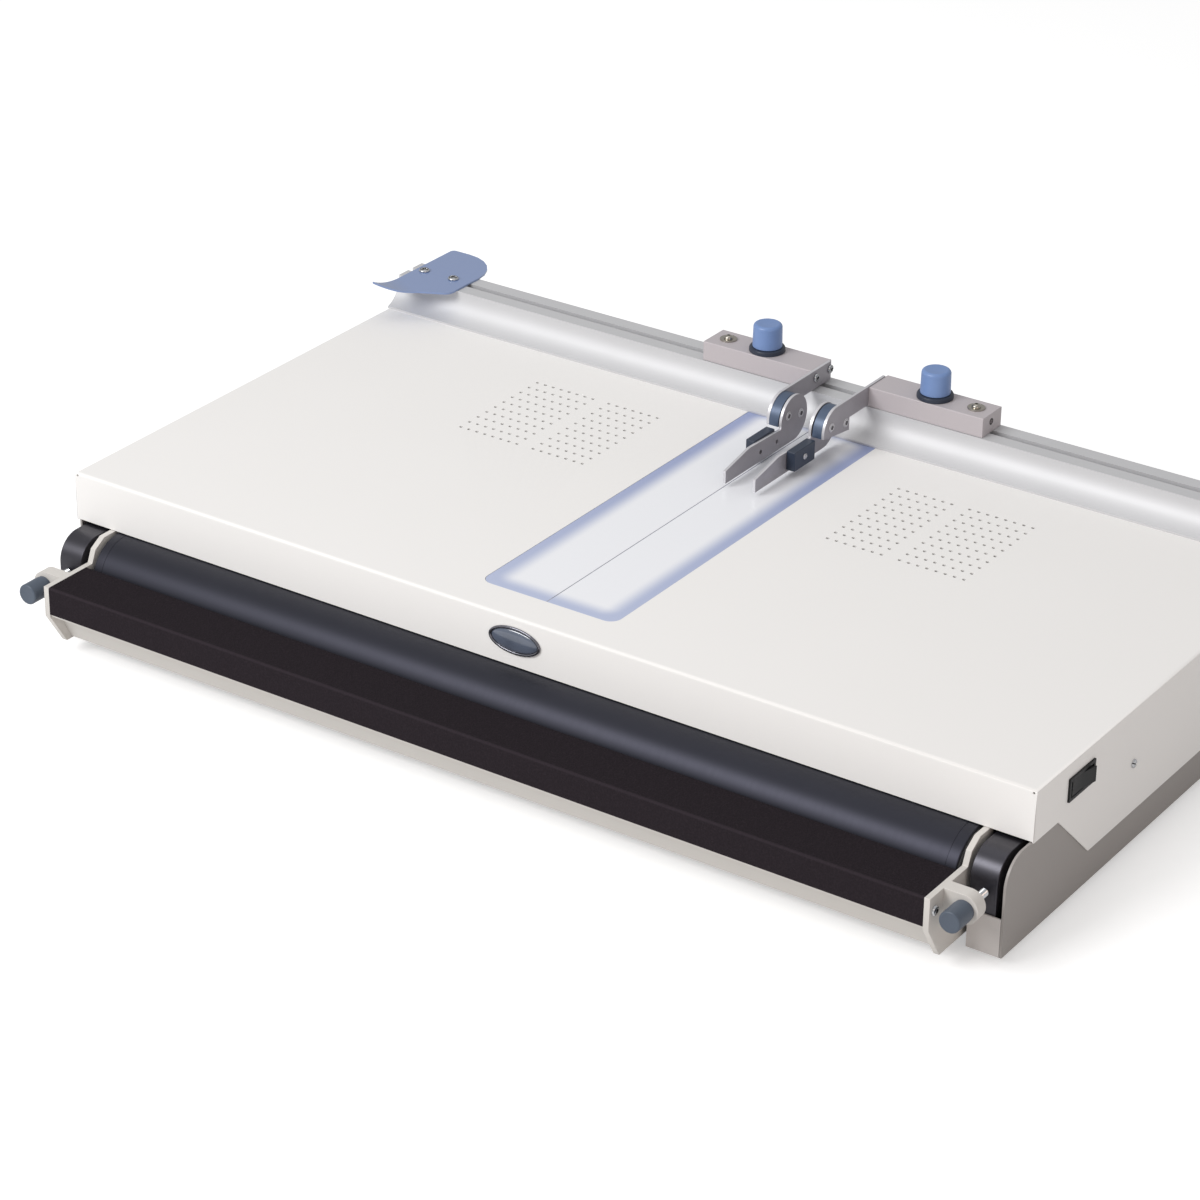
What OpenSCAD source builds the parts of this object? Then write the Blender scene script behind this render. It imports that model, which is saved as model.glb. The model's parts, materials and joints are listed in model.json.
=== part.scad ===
/* [Table and cover] */
// Width of the table over its side skirts
table_w = 1080; // [1000:1:1300]
// Depth of the table from its front face to its back
table_d = 576; // [560:1:680]
// Height of the table top above the desk
table_z = 155; // [150:1:190]
// Sheet thickness of the cover
cover_t = 1.5; // [1:0.1:2.5]
// Outside radius of the cover's bends
bend_r = 3; // [2.6:0.1:5]
// Depth of the front skirt
front_skirt_h = 51; // [46:1:56]
// Depth of the side skirts ahead of their slant
side_nose_h = 52; // [48:1:56]
// Depth of the side skirts behind their slant
side_skirt_h = 111.5; // [100:0.5:120]
// Depth of the rear skirt
rear_skirt_h = 25; // [20:1:30]
// Distance from the front face to the slant of the side skirts
slant_y = 44; // [40:1:60]
// Length of that slant along the depth
slant_d = 63; // [40:1:80]

/* [Vents] */
// Radius of a vent hole
vent_r = 1.95; // [1.5:0.05:3]
// Distance between vent columns
vent_pitch_x = 10; // [8:0.5:12]
// Distance between vent rows
vent_pitch_y = 15; // [10:0.5:16]
// Rows of vents in a field
vent_rows = 10; // [4:1:12]
// Vent columns in the inner and the outer block of a field
vent_cols = [7, 8];
// Distance from the middle of the table to the first column
vent_x = 143; // [120:1:180]
// Distance from the front face to the first row
vent_y = 309; // [250:1:330]

/* [Light window] */
// Width of the window plate
window_w = 151.4; // [120:0.1:180]
// Thickness of the window plate
window_t = 4; // [3:0.1:6]
// Distance from the front face to the window opening
window_y = 43; // [40:1:60]
// Corner radius of the window opening
window_r = 12; // [6:1:20]
// Depth of the light box below the table top
light_box_h = 58; // [50:1:70]
// Radius of a light tube
tube_r = 8; // [6:0.5:13]
// Distance between the two tubes
tube_pitch = 70; // [50:1:80]

/* [Base] */
// Height of the feet
foot_h = 8; // [6:1:12]
// Radius of the feet
foot_r = 15; // [10:1:18]
// Sheet thickness of the pan
pan_t = 2; // [1.5:0.1:3]
// Sheet thickness of the pan's front lip
lip_t = 1.5; // [1:0.1:2]
// Depth of the lip's top edge below the roller axis
lip_drop = 16.7; // [12:0.1:22]
// Thickness of the side plates
side_plate_t = 2.5; // [2:0.1:4]
// Radius of the rounded nose of the side plate
nose_r = 28; // [20:1:34]
// Depth of the cross rails
rail_leg = 27; // [20:1:29]

/* [Roller] */
// Outside radius of the rubber sleeve
roller_r = 40; // [36:0.5:44]
// Thickness of the rubber sleeve
sleeve_t = 3; // [2:0.5:6]
// Wall of the roller tube
tube_wall = 4; // [3:0.5:6]
// Distance of the roller axis ahead of the front skirt
roller_lead = 1.5; // [0:0.1:4]
// Gap between the roller and the front skirt
skirt_gap = 1; // [1:0.1:3]
// Radius of the shoulder of the journals
shoulder_r = 10; // [9:0.5:12]
// Radius of the journals
journal_r = 7.5; // [6:0.5:8.5]
// Outside radius of the bearings
bearing_r = 16; // [14:0.5:18]
// Width of the bearings
bearing_w = 9; // [7:0.5:10]
// Pulley radius on the roller
roller_pulley_r = 20; // [14:0.5:22]
// Pulley radius on the motor
motor_pulley_r = 10; // [8:0.5:14]
// Distance from the roller axis back to the motor shaft
motor_back = 111.5; // [100:0.5:140]

/* [Roller housings] */
// Width of a roller housing
housing_w = 27; // [26:0.5:34]
// Wall of a roller housing
housing_t = 2; // [1.5:0.1:3]
// Gap between a housing and the side plate beside it
housing_gap = 6.7; // [3:0.1:10]
// Distance from the roller axis back to the end of a housing
housing_back = 23.5; // [23:0.5:26]

/* [Nip bar] */
// Thickness of the end plates
end_plate_t = 6; // [4:0.5:8]
// Gap between an end plate and the roller housing
end_plate_gap = 5; // [3:0.5:7]
// Gap between the roller and an end plate
roller_end_gap = 4; // [2:0.5:6]
// Gap between the foam and the roller
nip_gap = 2; // [1:0.1:4]
// Depth of the foam bar
foam_d = 56.5; // [44:0.5:64]
// Height of the foam bar
foam_h = 29; // [24:0.5:32]
// Height of the foam's top above the roller axis
foam_rise = 19; // [14:0.5:24]
// Web thickness of the nip beam
beam_t = 3; // [2:0.1:4]
// Flange thickness of the nip beam
flange_t = 2; // [1.5:0.1:3]
// Radius of the pivot shaft
pivot_r = 6; // [5:0.5:7]
// Height of the pivot axis above the floor of the pan
pivot_h = 15; // [14:0.5:18]
// Wire radius of the torsion springs
wire_r = 1.5; // [1:0.1:2]
// Thickness of the ears on the end plates
ear_t = 14; // [10:0.5:18]
// Length of the ears
ear_l = 34; // [31:0.5:38]
// Radius of the gap screws
gap_screw_r = 4; // [3:0.5:5]
// Radius of the gap knobs
gap_knob_r = 10.5; // [8:0.5:12]
// Length of the gap knobs
gap_knob_l = 25.2; // [18:0.1:30]

/* [Fence rail] */
// Height of the rail
rail_h = 32; // [31:0.5:36]
// Depth of the rail with its flange
rail_d = 62; // [60:0.5:66]
// Distance from the back of the rail to the middle of its slot
slot_back = 20.5; // [18:0.5:24]
// Width of the slot opening
slot_w = 8; // [7:0.5:9]
// Depth of the lips beside the slot opening
slot_lip = 4; // [3:0.5:6]
// Width of the channel under the lips
channel_w = 16; // [14:0.5:20]
// Height of the channel
channel_h = 7; // [6:0.5:9]
// Radius of the hollow front face
cove_r = 29.5; // [26:0.5:32]
// Thickness of the flange's front edge
flange_edge = 2; // [1.5:0.1:4]

/* [Guide wing] */
// Sheet thickness of the wing
wing_t = 2; // [1.5:0.1:3]
// Width of the wing
wing_w = 70.5; // [60:0.5:90]
// Length of the wing
wing_l = 145.4; // [120:0.1:160]
// Overhang of the wing behind the rail
wing_over = 47; // [20:1:60]
// Radius of the curl towards the tip
curl_r = 86; // [70:1:120]
// Distance of the wing from the end of the table
wing_inset = 8; // [2:1:12]

/* [Carriages] */
// Length of a carriage block
carriage_l = 131.5; // [110:0.5:150]
// Depth of a carriage block
carriage_d = 38; // [34:0.5:42]
// Height of a carriage block
carriage_h = 20.7; // [16:0.1:24]
// Place of the left block's inner end
left_place = -15; // [-20:1:-10]
// Place of the right block's inner end
right_place = 52.5; // [48:0.5:60]
// Radius of the clamp stud and the guide screw
stud_r = 3; // [2.5:0.1:3.2]
// Radius of the clamp washer
washer_r = 18.8; // [16:0.1:19]
// Thickness of the clamp washer
washer_t = 5; // [3:0.5:7]
// Radius of the clamp knob
clamp_r = 15.5; // [12:0.5:18]
// Height of the clamp knob
clamp_h = 25; // [18:0.5:32]

/* [Spine fingers] */
// Thickness of the arm plates and the fingers
arm_t = 3; // [2:0.1:4]
// Distance from the slot forward to the finger pivot
arm_reach = 80.5; // [74:0.5:90]
// Radius of the bracket's head
bracket_r = 24; // [22:0.5:28]
// Radius of the pivot hubs
hub_r = 24; // [18:0.5:24.5]
// Width between a bracket and its finger
hub_w = 12; // [10:0.5:14]
// Radius of the finger's head
head_r = 24.5; // [22:0.5:26]
// Gap between a finger and the table
finger_gap = 4.5; // [3:0.5:8]
// Length of a finger from its pivot to its tip
finger_l = 127; // [110:1:150]
// Height of a finger's tip
tip_h = 13.5; // [10:0.5:16]
// Radius of the finger's pivot pin
pin_r = 4; // [3:0.5:5]
// Width of the finger block
finger_block_w = 10; // [8:0.5:11]

/* [Power] */
// Length of the switch bezel
bezel_l = 47; // [44:0.5:54]
// Height of the switch bezel
bezel_h = 23; // [21:0.5:26]
// Depth of the switch behind the skirt
switch_d = 28; // [22:1:36]
// Distance from the front face to the middle of the switch
switch_y = 81.5; // [76:0.5:100]
// Depth of the middle of the switch below the table top
switch_drop = 27.5; // [24:0.5:32]
// Tilt between the two faces of the rocker
rocker_tilt = 12; // [8:1:16]

/* [Hidden] */
$fn = 48;

// Clearances that every sub-assembly shares
seat = 0.3;
running_fit = 0.05;
overrun = 2;
corner_steps = 6;

// Finishes
white_enamel = "#ECEAE8";
grey_enamel = "#8C8883";
warm_grey = "#CAC5C2";
black_gloss = "#1C1B1E";
black_plastic = "#26272A";
rubber_grey = "#3C3E48";
foam_black = "#2D282C";
zinc = "#BFC0C4";
steel = "#8E8E90";
aluminium = "#C9CACD";
knob_blue = "#7391C8";
knob_grey = "#697382";
hub_blue = "#4B5A73";
slate = "#3C4655";
wing_blue = "#7D91B9";
milk = "#E4E6EC";

// The sides, from the outside in
side_x = table_w / 2;
side_plate_x1 = side_x - cover_t - seat;
side_plate_x0 = side_plate_x1 - side_plate_t;
inner_x = side_plate_x0 - seat;
housing_x1 = side_plate_x0 - housing_gap;
housing_x0 = housing_x1 - housing_w;
end_plate_x1 = housing_x0 - end_plate_gap;
end_plate_x0 = end_plate_x1 - end_plate_t;
roller_x = end_plate_x0 - roller_end_gap;
back_y = table_d - cover_t - seat;

// The base, from the desk up
pan_bottom = foot_h - table_z;
pan_top = pan_bottom + pan_t;

// The roller
roller_y = -roller_lead;
roller_z = -front_skirt_h - skirt_gap - roller_r;
lip_reach = 1;
lip_y = roller_y - roller_r - lip_reach;
lip_top = roller_z - lip_drop;
nose_top = -front_skirt_h - skirt_gap;
bearing_block_w = 10;
bearing_block_gap = (bearing_block_w - bearing_w) / 2;
bearing_x0 = housing_x0 + housing_t + bearing_block_gap;
bearing_x1 = bearing_x0 + bearing_w;
pulley_w = 10;
pulley_gap = 1;
pulley_x1 = housing_x1 - housing_t - pulley_gap;
pulley_x0 = pulley_x1 - pulley_w;
pulley_flange_t = 1;
pulley_flange_rise = 3;
belt_t = 2;
motor_drop = 3;
motor_y = roller_y + motor_back;
motor_z = roller_z - motor_drop;
motor_shaft_r = 4;

// The nip bar
foam_back = roller_y - roller_r - nip_gap;
foam_front = foam_back - foam_d;
foam_top = roller_z + foam_rise;
foam_low = foam_top - foam_h;
beam_low = foam_low - beam_t;
pivot_inset = 3.5;
pivot_y = roller_y + roller_r - pivot_inset;
pivot_z = pan_top + pivot_h;
boss_wall = 4;
boss_r = pivot_r + boss_wall;
leg_low = pivot_z - boss_r;
leg_back = 22;
leg_tip_y = foam_front + leg_back;
spring_clear = 0.5;
coil_r = pivot_r + spring_clear + wire_r;
spring_edge = pivot_z - coil_r + wire_r + seat;
ear_back = 23;
ear_y0 = foam_front + ear_back;
ear_y1 = ear_y0 + ear_t;
ear_axis_out = 20.5;
ear_x1 = end_plate_x1 + ear_l;
gap_x = end_plate_x1 + ear_axis_out;
gap_z = foam_top - foam_h / 2;
housing_front = lip_y + lip_t + seat;
gap_tip = housing_front - seat;
gap_screw_head = 6;

// The fence rail
rail_inset = 3;
rail_y1 = table_d - rail_inset;
rail_y0 = rail_y1 - rail_d;
slot_y = rail_y1 - slot_back;
channel_z1 = rail_h - slot_lip;
channel_z0 = channel_z1 - channel_h;
cove_back = 41;
cove_y = rail_y1 - cove_back - cove_r;
cove_z = flange_edge + sqrt(cove_r * cove_r - (rail_y0 - cove_y) * (rail_y0 - cove_y));

// The cross rails
rail_sheet = 2;
front_rail_y = 10;
front_rail_d = 22;
rear_rail_half = 18.5;

// The light window, between the front and the rail
window_reach = 13.7;
window_y1 = rail_y0 + window_reach;
window_seat = 0.2;
light_sheet = 1.2;
light_margin = 7;
light_ledge = 14;
light_x = window_w / 2 + light_margin + light_sheet;
light_y0 = window_y - light_margin;
light_y1 = window_y1 + seat + light_sheet + spring_clear;
groove_w = 0.8;
groove_depth = 0.4;
groove_inset = 9;

// The carriages
carriage_z0 = rail_h + seat;
carriage_z1 = carriage_z0 + carriage_h;
carriage_y0 = slot_y - carriage_d / 2;
carriage_y1 = slot_y + carriage_d / 2;
clamp_u = carriage_l / 2;
guide_in = 18.5;
guide_u = carriage_l - guide_in;
nut_half = 12;
screw_r = 2.5;

// The fingers
finger_y = slot_y - arm_reach;
finger_z = finger_gap + head_r;

// The switch
bezel_t = 2;
rocker_wall = 1.2;
switch_body_l = bezel_l - 2 * bezel_t;
switch_body_h = bezel_h - 2 * bezel_t;
rocker_room_l = switch_body_l - 2 * rocker_wall;
rocker_room_h = switch_body_h - 2 * rocker_wall;

// Where the wing ends, and the middle of the whole machine
wing_back = rail_y1 + wing_over;
knob_front = ear_y0 - seat - gap_knob_l;
front_y = -(wing_back + knob_front) / 2;

module at_table() {
  translate([0, front_y, table_z]) children();
}

module pair() {
  children();
  mirror([1, 0, 0]) children();
}

module block(x, y, z) {
  translate([x[0], y[0], z[0]]) cube([x[1] - x[0], y[1] - y[0], z[1] - z[0]]);
}

// Outline in depth and height, drawn out along the width
module along_x(x) {
  translate([x[0], 0, 0]) rotate([90, 0, 90]) linear_extrude(x[1] - x[0]) children();
}

// Outline in width and height, drawn out along the depth
module along_y(y) {
  translate([0, y[1], 0]) rotate([90, 0, 0]) linear_extrude(y[1] - y[0]) children();
}

// Outline in width and depth, drawn out along the height
module along_z(z) {
  translate([0, 0, z[0]]) linear_extrude(z[1] - z[0]) children();
}

module rod_x(x, y, z, r) {
  translate([x[0], y, z]) rotate([0, 90, 0]) cylinder(h = x[1] - x[0], r = r);
}

module rod_y(x, y, z, r) {
  translate([x, y[0], z]) rotate([-90, 0, 0]) cylinder(h = y[1] - y[0], r = r);
}

module rod_z(x, y, z, r) {
  translate([x, y, z[0]]) cylinder(h = z[1] - z[0], r = r);
}

// A round bar between any two points
module strut(a, b, r) {
  span = b - a;
  translate(a) rotate([0, acos(span.z / norm(span)), atan2(span.y, span.x)])
    cylinder(h = norm(span), r = r);
}

module rectangle(a, b) {
  translate(a) square(b - a);
}

function unit(v) = v / norm(v);

// Points of one corner of an outline, rounded to radius r
function rounded_corner(before, at, after, r) =
  r == 0 ? [at] :
  let (
    u = unit(before - at),
    v = unit(after - at),
    half = acos(u * v) / 2,
    middle = at + unit(u + v) * r / sin(half),
    first = at + u * r / tan(half) - middle,
    last = at + v * r / tan(half) - middle,
    start = atan2(first.y, first.x),
    turn = (atan2(last.y, last.x) - start + 540) % 360 - 180
  )
  [for (i = [0 : corner_steps])
    middle + r * [cos(start + turn * i / corner_steps), sin(start + turn * i / corner_steps)]];

// Closed outline from corners, each written as [point, radius]
function rounded(corners) =
  let (n = len(corners))
  [for (i = [0 : n - 1])
    each rounded_corner(corners[(i + n - 1) % n][0], corners[i][0],
                        corners[(i + 1) % n][0], corners[i][1])];

// Rectangle whose two upper corners are true arcs
module round_top(a, b, r) {
  rectangle(a, [b.x, b.y - r]);
  rectangle([a.x + r, a.y], [b.x - r, b.y]);
  translate([a.x + r, b.y - r]) circle(r);
  translate([b.x - r, b.y - r]) circle(r);
}

// Rectangle whose two front corners are true arcs
module round_front(a, b, r) {
  rectangle([a.x, a.y + r], b);
  rectangle([a.x + r, a.y], [b.x - r, b.y]);
  translate([a.x + r, a.y + r]) circle(r);
  translate([b.x - r, a.y + r]) circle(r);
}

// Pan head with a short shank, pointing up from the origin
module pan_head(r, h, shank_r, shank_l) {
  rotate_extrude() polygon([
    [0, -shank_l], [shank_r, -shank_l], [shank_r, 0], [r, 0],
    [r, h / 2], [r * 3 / 4, h], [0, h]
  ]);
}

// The floor of the base and the lip across its front
slot_side = 3;
slot_reach = 38;

module leg_slots() {
  pair() block(
    [end_plate_x0 - slot_side, end_plate_x1 + slot_side * 2],
    [lip_y - overrun, pivot_y - slot_reach],
    [pan_bottom - overrun, lip_top + overrun]);
}

module foot_places() {
  foot_in = 50;
  foot_edge = 30;
  for (x = [-side_x + foot_in, 0, side_x - foot_in], y = [foot_edge, table_d - foot_edge])
    translate([x, y, pan_bottom]) children();
}

module base_pan() {
  hole_r = 3;
  color(grey_enamel) at_table() difference() {
    union() {
      block([-inner_x, inner_x], [lip_y, back_y], [pan_bottom, pan_top]);
      block([-inner_x, inner_x], [lip_y, lip_y + lip_t], [pan_bottom, lip_top]);
    }
    leg_slots();
    foot_places() translate([0, 0, -overrun]) cylinder(h = pan_t + 2 * overrun, r = hole_r);
  }
}

// Nose of the base, shared by the side plate and the housings; inset shrinks it
module nose_outline(inset, back, low) {
  r = nose_r - inset;
  middle = [lip_y + nose_r, nose_top - nose_r];
  translate(middle) circle(r);
  rectangle([lip_y + inset, low], [back, middle.y]);
  rectangle([middle.x, low], [back, middle.y + r]);
}

module side_plate_outline(with_nose) {
  top_gap = 1.5;
  plate_top = -cover_t - top_gap;
  skirt_back = cover_t + seat;
  if (with_nose) nose_outline(0, back_y, pan_bottom);
  rectangle([skirt_back, pan_bottom], [back_y, plate_top]);
}

module side_screw_places() {
  screw_y = 185;
  screw_step = 265;
  screw_z = -59;
  for (y = [screw_y, screw_y + screw_step])
    translate([side_x, y, screw_z]) children();
}

side_shank_r = 2;

module side_plate(with_nose) {
  difference() {
    along_x([side_plate_x0, side_plate_x1]) side_plate_outline(with_nose);
    side_screw_places() rod_x([-side_x, 0], 0, 0, side_shank_r);
    if (with_nose) switch_opening();
  }
}

module left_side_plate() {
  color(grey_enamel) at_table() mirror([1, 0, 0]) side_plate(false);
}

module right_side_plate() {
  color(grey_enamel) at_table() side_plate(true);
}

// The rear panel, with the opening for the inlet
inlet_side = 100;
inlet_rise = 18;
inlet_x = side_x - inlet_side;
inlet_z = pan_top + inlet_rise;
inlet_w = 27.5;
inlet_h = 20;

// A wide sheet, and a plate that carries the inlet
module rear_panel() {
  plate_reach = 40;
  seam_x = inlet_x - plate_reach;
  color(grey_enamel) at_table() difference() {
    for (x = [[-inner_x, seam_x - seat], [seam_x, inner_x]])
      block(x, [back_y - side_plate_t, back_y], [pan_top, -bend_r]);
    block(
      [inlet_x - inlet_w / 2, inlet_x + inlet_w / 2],
      [back_y - side_plate_t - overrun, back_y + overrun],
      [inlet_z - inlet_h / 2, inlet_z + inlet_h / 2]);
  }
}

module rail_bolt_places() {
  bolt_in = 40;
  bolts = 5;
  for (i = [0 : bolts - 1])
    translate([-side_x + bolt_in + i * (table_w - 2 * bolt_in) / (bolts - 1), slot_y, 0])
      children();
}

rail_bolt_r = 3;

module rail_bolt_holes(z) {
  rail_bolt_places() rod_z(0, 0, z, rail_bolt_r + running_fit);
}

module cross_rails() {
  top = -cover_t;
  low = top - rail_leg;
  rear_y = [slot_y - rear_rail_half, slot_y + rear_rail_half];
  color(steel) at_table() difference() {
    union() {
      along_x([-inner_x, inner_x]) {
        rectangle([front_rail_y, top - rail_sheet], [front_rail_y + front_rail_d, top]);
        rectangle([front_rail_y, low], [front_rail_y + rail_sheet, top]);
      }
      along_x([-inner_x, inner_x]) difference() {
        rectangle([rear_y[0], low], [rear_y[1], top]);
        rectangle([rear_y[0] + rail_sheet, low - overrun],
                  [rear_y[1] - rail_sheet, top - rail_sheet]);
      }
    }
    rail_bolt_holes([top - rail_sheet - overrun, top + overrun]);
  }
}

// The folded cover: an outer and an inner form with round bends
module cover_form(inset, low) {
  x = side_x - inset;
  y = [inset, table_d - inset];
  r = bend_r - inset;
  intersection() {
    along_y(y) round_top([-x, low], [x, -inset], r);
    along_x([-x, x]) round_top([y[0], low], [y[1], -inset], r);
  }
}

module window_outline(clear) {
  x = window_w / 2 + clear;
  round_front([-x, window_y + seat - clear], [x, window_y1 + clear], window_r);
}

// Columns of one field: an inner and an outer block with one column left out between them
function vent_columns() = [
  for (i = [0 : vent_cols[0] - 1]) vent_x + i * vent_pitch_x,
  for (i = [0 : vent_cols[1] - 1]) vent_x + (vent_cols[0] + 1 + i) * vent_pitch_x
];

module vent_field() {
  for (x = vent_columns(), row = [0 : vent_rows - 1])
    translate([x, vent_y + row * vent_pitch_y]) circle(vent_r, $fn = 20);
}

module switch_opening() {
  block(
    [side_plate_x0 - overrun, side_x + overrun],
    [switch_y - switch_body_l / 2 - seat, switch_y + switch_body_l / 2 + seat],
    [-switch_drop - switch_body_h / 2 - seat, -switch_drop + switch_body_h / 2 + seat]);
}

module top_cover() {
  relief_r = 1.2;
  side_low = -side_skirt_h;
  beyond = side_x + overrun;
  below = side_low - overrun;
  inside = side_x - cover_t;
  color(white_enamel) at_table() difference() {
    cover_form(0, side_low);
    cover_form(cover_t, below);
    along_x([-beyond, beyond]) polygon([
      [-overrun, below], [slant_y + slant_d, below], [slant_y + slant_d, side_low],
      [slant_y, -side_nose_h], [-overrun, -side_nose_h]
    ]);
    block([-inside, inside], [-overrun, slant_y], [below, -front_skirt_h]);
    block([-inside, inside], [table_d / 2, table_d + overrun], [below, -rear_skirt_h]);
    along_z([-cover_t - overrun, overrun]) {
      window_outline(seat);
      vent_field();
      mirror([1, 0]) vent_field();
    }
    rail_bolt_holes([-cover_t - overrun, overrun]);
    pair() {
      rod_y(side_x - bend_r - seat, [-overrun, cover_t + overrun], -bend_r - seat, relief_r);
      side_screw_places() rod_x([-cover_t - overrun, overrun], 0, 0, side_shank_r + running_fit);
    }
    switch_opening();
  }
}

module cover_screws() {
  head_screw_r = 4;
  head_screw_h = 2.2;
  color(zinc) at_table() pair() side_screw_places() rotate([0, 90, 0])
    pan_head(head_screw_r, head_screw_h, side_shank_r, cover_t + seat + side_plate_t);
}

module base_feet() {
  taper = 2;
  rim = 5;
  recess_r = 6;
  stud_foot_r = 3;
  color(black_plastic) at_table() foot_places() rotate_extrude() polygon([
    [0, pan_t], [stud_foot_r, pan_t], [stud_foot_r, 0], [foot_r, 0], [foot_r, -taper],
    [foot_r - taper, -foot_h], [recess_r, -foot_h], [recess_r, -foot_h + rim],
    [0, -foot_h + rim]
  ]);
}

// The lit window and what lights it
module light_window() {
  color(milk) at_table() difference() {
    along_z([-window_t - window_seat, -window_seat]) window_outline(0);
    block([-groove_w / 2, groove_w / 2],
          [window_y + groove_inset, rail_y0],
          [-window_seat - groove_depth, overrun]);
  }
}

module light_box() {
  top = -cover_t;
  ledge_z = -window_seat - window_t;
  x = light_x;
  color(warm_grey) at_table() difference() {
    block([-x, x], [light_y0, light_y1], [-light_box_h, top]);
    block([-x + light_sheet, x - light_sheet],
          [light_y0 + light_sheet, light_y1 - light_sheet],
          [-light_box_h + light_sheet, ledge_z - light_sheet]);
    block([-x + light_sheet, x - light_sheet],
          [light_y0 + light_sheet, light_y1 - light_sheet],
          [ledge_z, top + overrun]);
    block([-x + light_ledge, x - light_ledge],
          [light_y0 + light_ledge, light_y1 - light_ledge],
          [ledge_z - light_sheet - overrun, ledge_z + overrun]);
  }
}

holder_t = 14;
holder_gap = 16;
tube_z = -light_box_h + light_sheet + 2 * tube_r;
holder_y0 = light_y0 + light_sheet + holder_gap;
holder_y1 = light_y1 - light_sheet - holder_gap;
tube_pin_r = 1.2;
tube_pin_l = 6;
tube_pin_step = 2.5;

module tube_pins(y, r) {
  for (side = [-1, 1], z = [-tube_pin_step, tube_pin_step])
    rod_y(side * tube_pitch / 2, y, tube_z + z, r);
}

module light_tubes() {
  cap_l = 10;
  cap_rise = 0.5;
  y0 = holder_y0 + holder_t + seat;
  y1 = holder_y1 - holder_t - seat;
  color(milk) at_table() {
    for (side = [-1, 1]) {
      rod_y(side * tube_pitch / 2, [y0 + cap_l, y1 - cap_l], tube_z, tube_r);
      for (y = [y0, y1 - cap_l])
        rod_y(side * tube_pitch / 2, [y, y + cap_l], tube_z, tube_r + cap_rise);
    }
    tube_pins([y0 - tube_pin_l, y0], tube_pin_r);
    tube_pins([y1, y1 + tube_pin_l], tube_pin_r);
  }
}

module tube_holders() {
  color(white_enamel) at_table() difference() {
    for (side = [-1, 1], y = [holder_y0, holder_y1 - holder_t])
      block([side * tube_pitch / 2 - tube_r, side * tube_pitch / 2 + tube_r],
            [y, y + holder_t],
            [-light_box_h + light_sheet, tube_z + tube_r]);
    tube_pins([holder_y0 + holder_t - tube_pin_l, holder_y0 + holder_t + overrun],
              tube_pin_r + running_fit);
    tube_pins([holder_y1 - holder_t - overrun, holder_y1 - holder_t + tube_pin_l],
              tube_pin_r + running_fit);
  }
}

// The oval badge in the middle of the front skirt
badge_x = -5;
badge_drop = 23.8;
badge_half = [29, 14];
badge_rim_w = 2.8;

function oval(half, n) = [for (i = [0 : n - 1]) [half.x * cos(360 * i / n), half.y * sin(360 * i / n)]];

module front_badge() {
  rim_t = 2.5;
  dome_t = 4;
  base_t = 1;
  steps = 64;
  edge = badge_half - [badge_rim_w, badge_rim_w];
  color(slate) at_table() translate([badge_x, 0, -badge_drop]) {
    along_y([-rim_t, 0]) difference() {
      polygon(oval(badge_half, steps));
      polygon(oval(edge, steps));
    }
    along_y([-base_t, 0]) polygon(oval(edge + [seat, seat], steps));
    intersection() {
      scale([edge.x, dome_t, edge.y]) sphere(1);
      block([-edge.x, edge.x], [-dome_t - overrun, -base_t / 2], [-edge.y, edge.y]);
    }
  }
}

// The fence rail: one profile with a slot for the carriages
module rail_outline() {
  wall = 4;
  floor_z = 4;
  mid = slot_y;
  difference() {
    rectangle([rail_y0, 0], [rail_y1, rail_h]);
    translate([cove_y, cove_z]) circle(cove_r, $fn = 96);
    rectangle([mid - slot_w / 2, channel_z1 - overrun], [mid + slot_w / 2, rail_h + overrun]);
    rectangle([mid - channel_w / 2, channel_z0], [mid + channel_w / 2, channel_z1]);
    for (y = [[rail_y1 - cove_back + wall, mid - wall / 2], [mid + wall / 2, rail_y1 - wall / 2]])
      rectangle([y[0], floor_z], [y[1], channel_z0 - wall]);
  }
}

rail_bolt_reach = 4;

module fence_rail() {
  color(aluminium) at_table() difference() {
    along_x([-side_x, side_x]) rail_outline();
    rail_bolt_holes([-overrun, rail_bolt_reach]);
  }
}

wing_x = -side_x + wing_inset;
wing_screw_in = [11, 50];
wing_screw_r = 2;

// A nut in the slot of the rail, bored for a screw
module slot_nut(x, bore_r) {
  nut_gap = 0.3;
  neck = rail_h - nut_gap;
  difference() {
    union() {
      block([x - nut_half, x + nut_half],
            [slot_y - channel_w / 2 + nut_gap, slot_y + channel_w / 2 - nut_gap],
            [channel_z0 + nut_gap, channel_z1 - nut_gap]);
      block([x - nut_half, x + nut_half],
            [slot_y - slot_w / 2 + nut_gap, slot_y + slot_w / 2 - nut_gap],
            [channel_z1 - 2 * nut_gap, neck]);
    }
    rod_z(x, slot_y, [channel_z0 - overrun, rail_h + overrun], bore_r);
  }
}

module rail_fixings() {
  bolt_head_r = 5;
  bolt_head_h = 4;
  wing_head_r = 5;
  wing_head_h = 3;
  head_z = -cover_t - rail_sheet;
  color(zinc) at_table() {
    rail_bolt_places() {
      rod_z(0, 0, [head_z, rail_bolt_reach - seat], rail_bolt_r);
      rod_z(0, 0, [head_z - bolt_head_h, head_z], bolt_head_r);
    }
    for (x = wing_screw_in) {
      translate([wing_x + x, slot_y, rail_h + wing_t])
        pan_head(wing_head_r, wing_head_h, wing_screw_r, rail_h + wing_t - channel_z0 - 2 * seat);
      slot_nut(wing_x + x, wing_screw_r + running_fit);
    }
  }
}

// The wing's front edge, as shares of its width and of its length from the tip
wing_edge_shares = [[0, 0], [0.333, 0.092], [0.547, 0.188], [1, 0.302]];
fold_shares = [[0, 0.326], [0.533, 0.196]];

function wing_point(share) = [wing_x + share.x * wing_w, wing_back - wing_l + share.y * wing_l];

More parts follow.
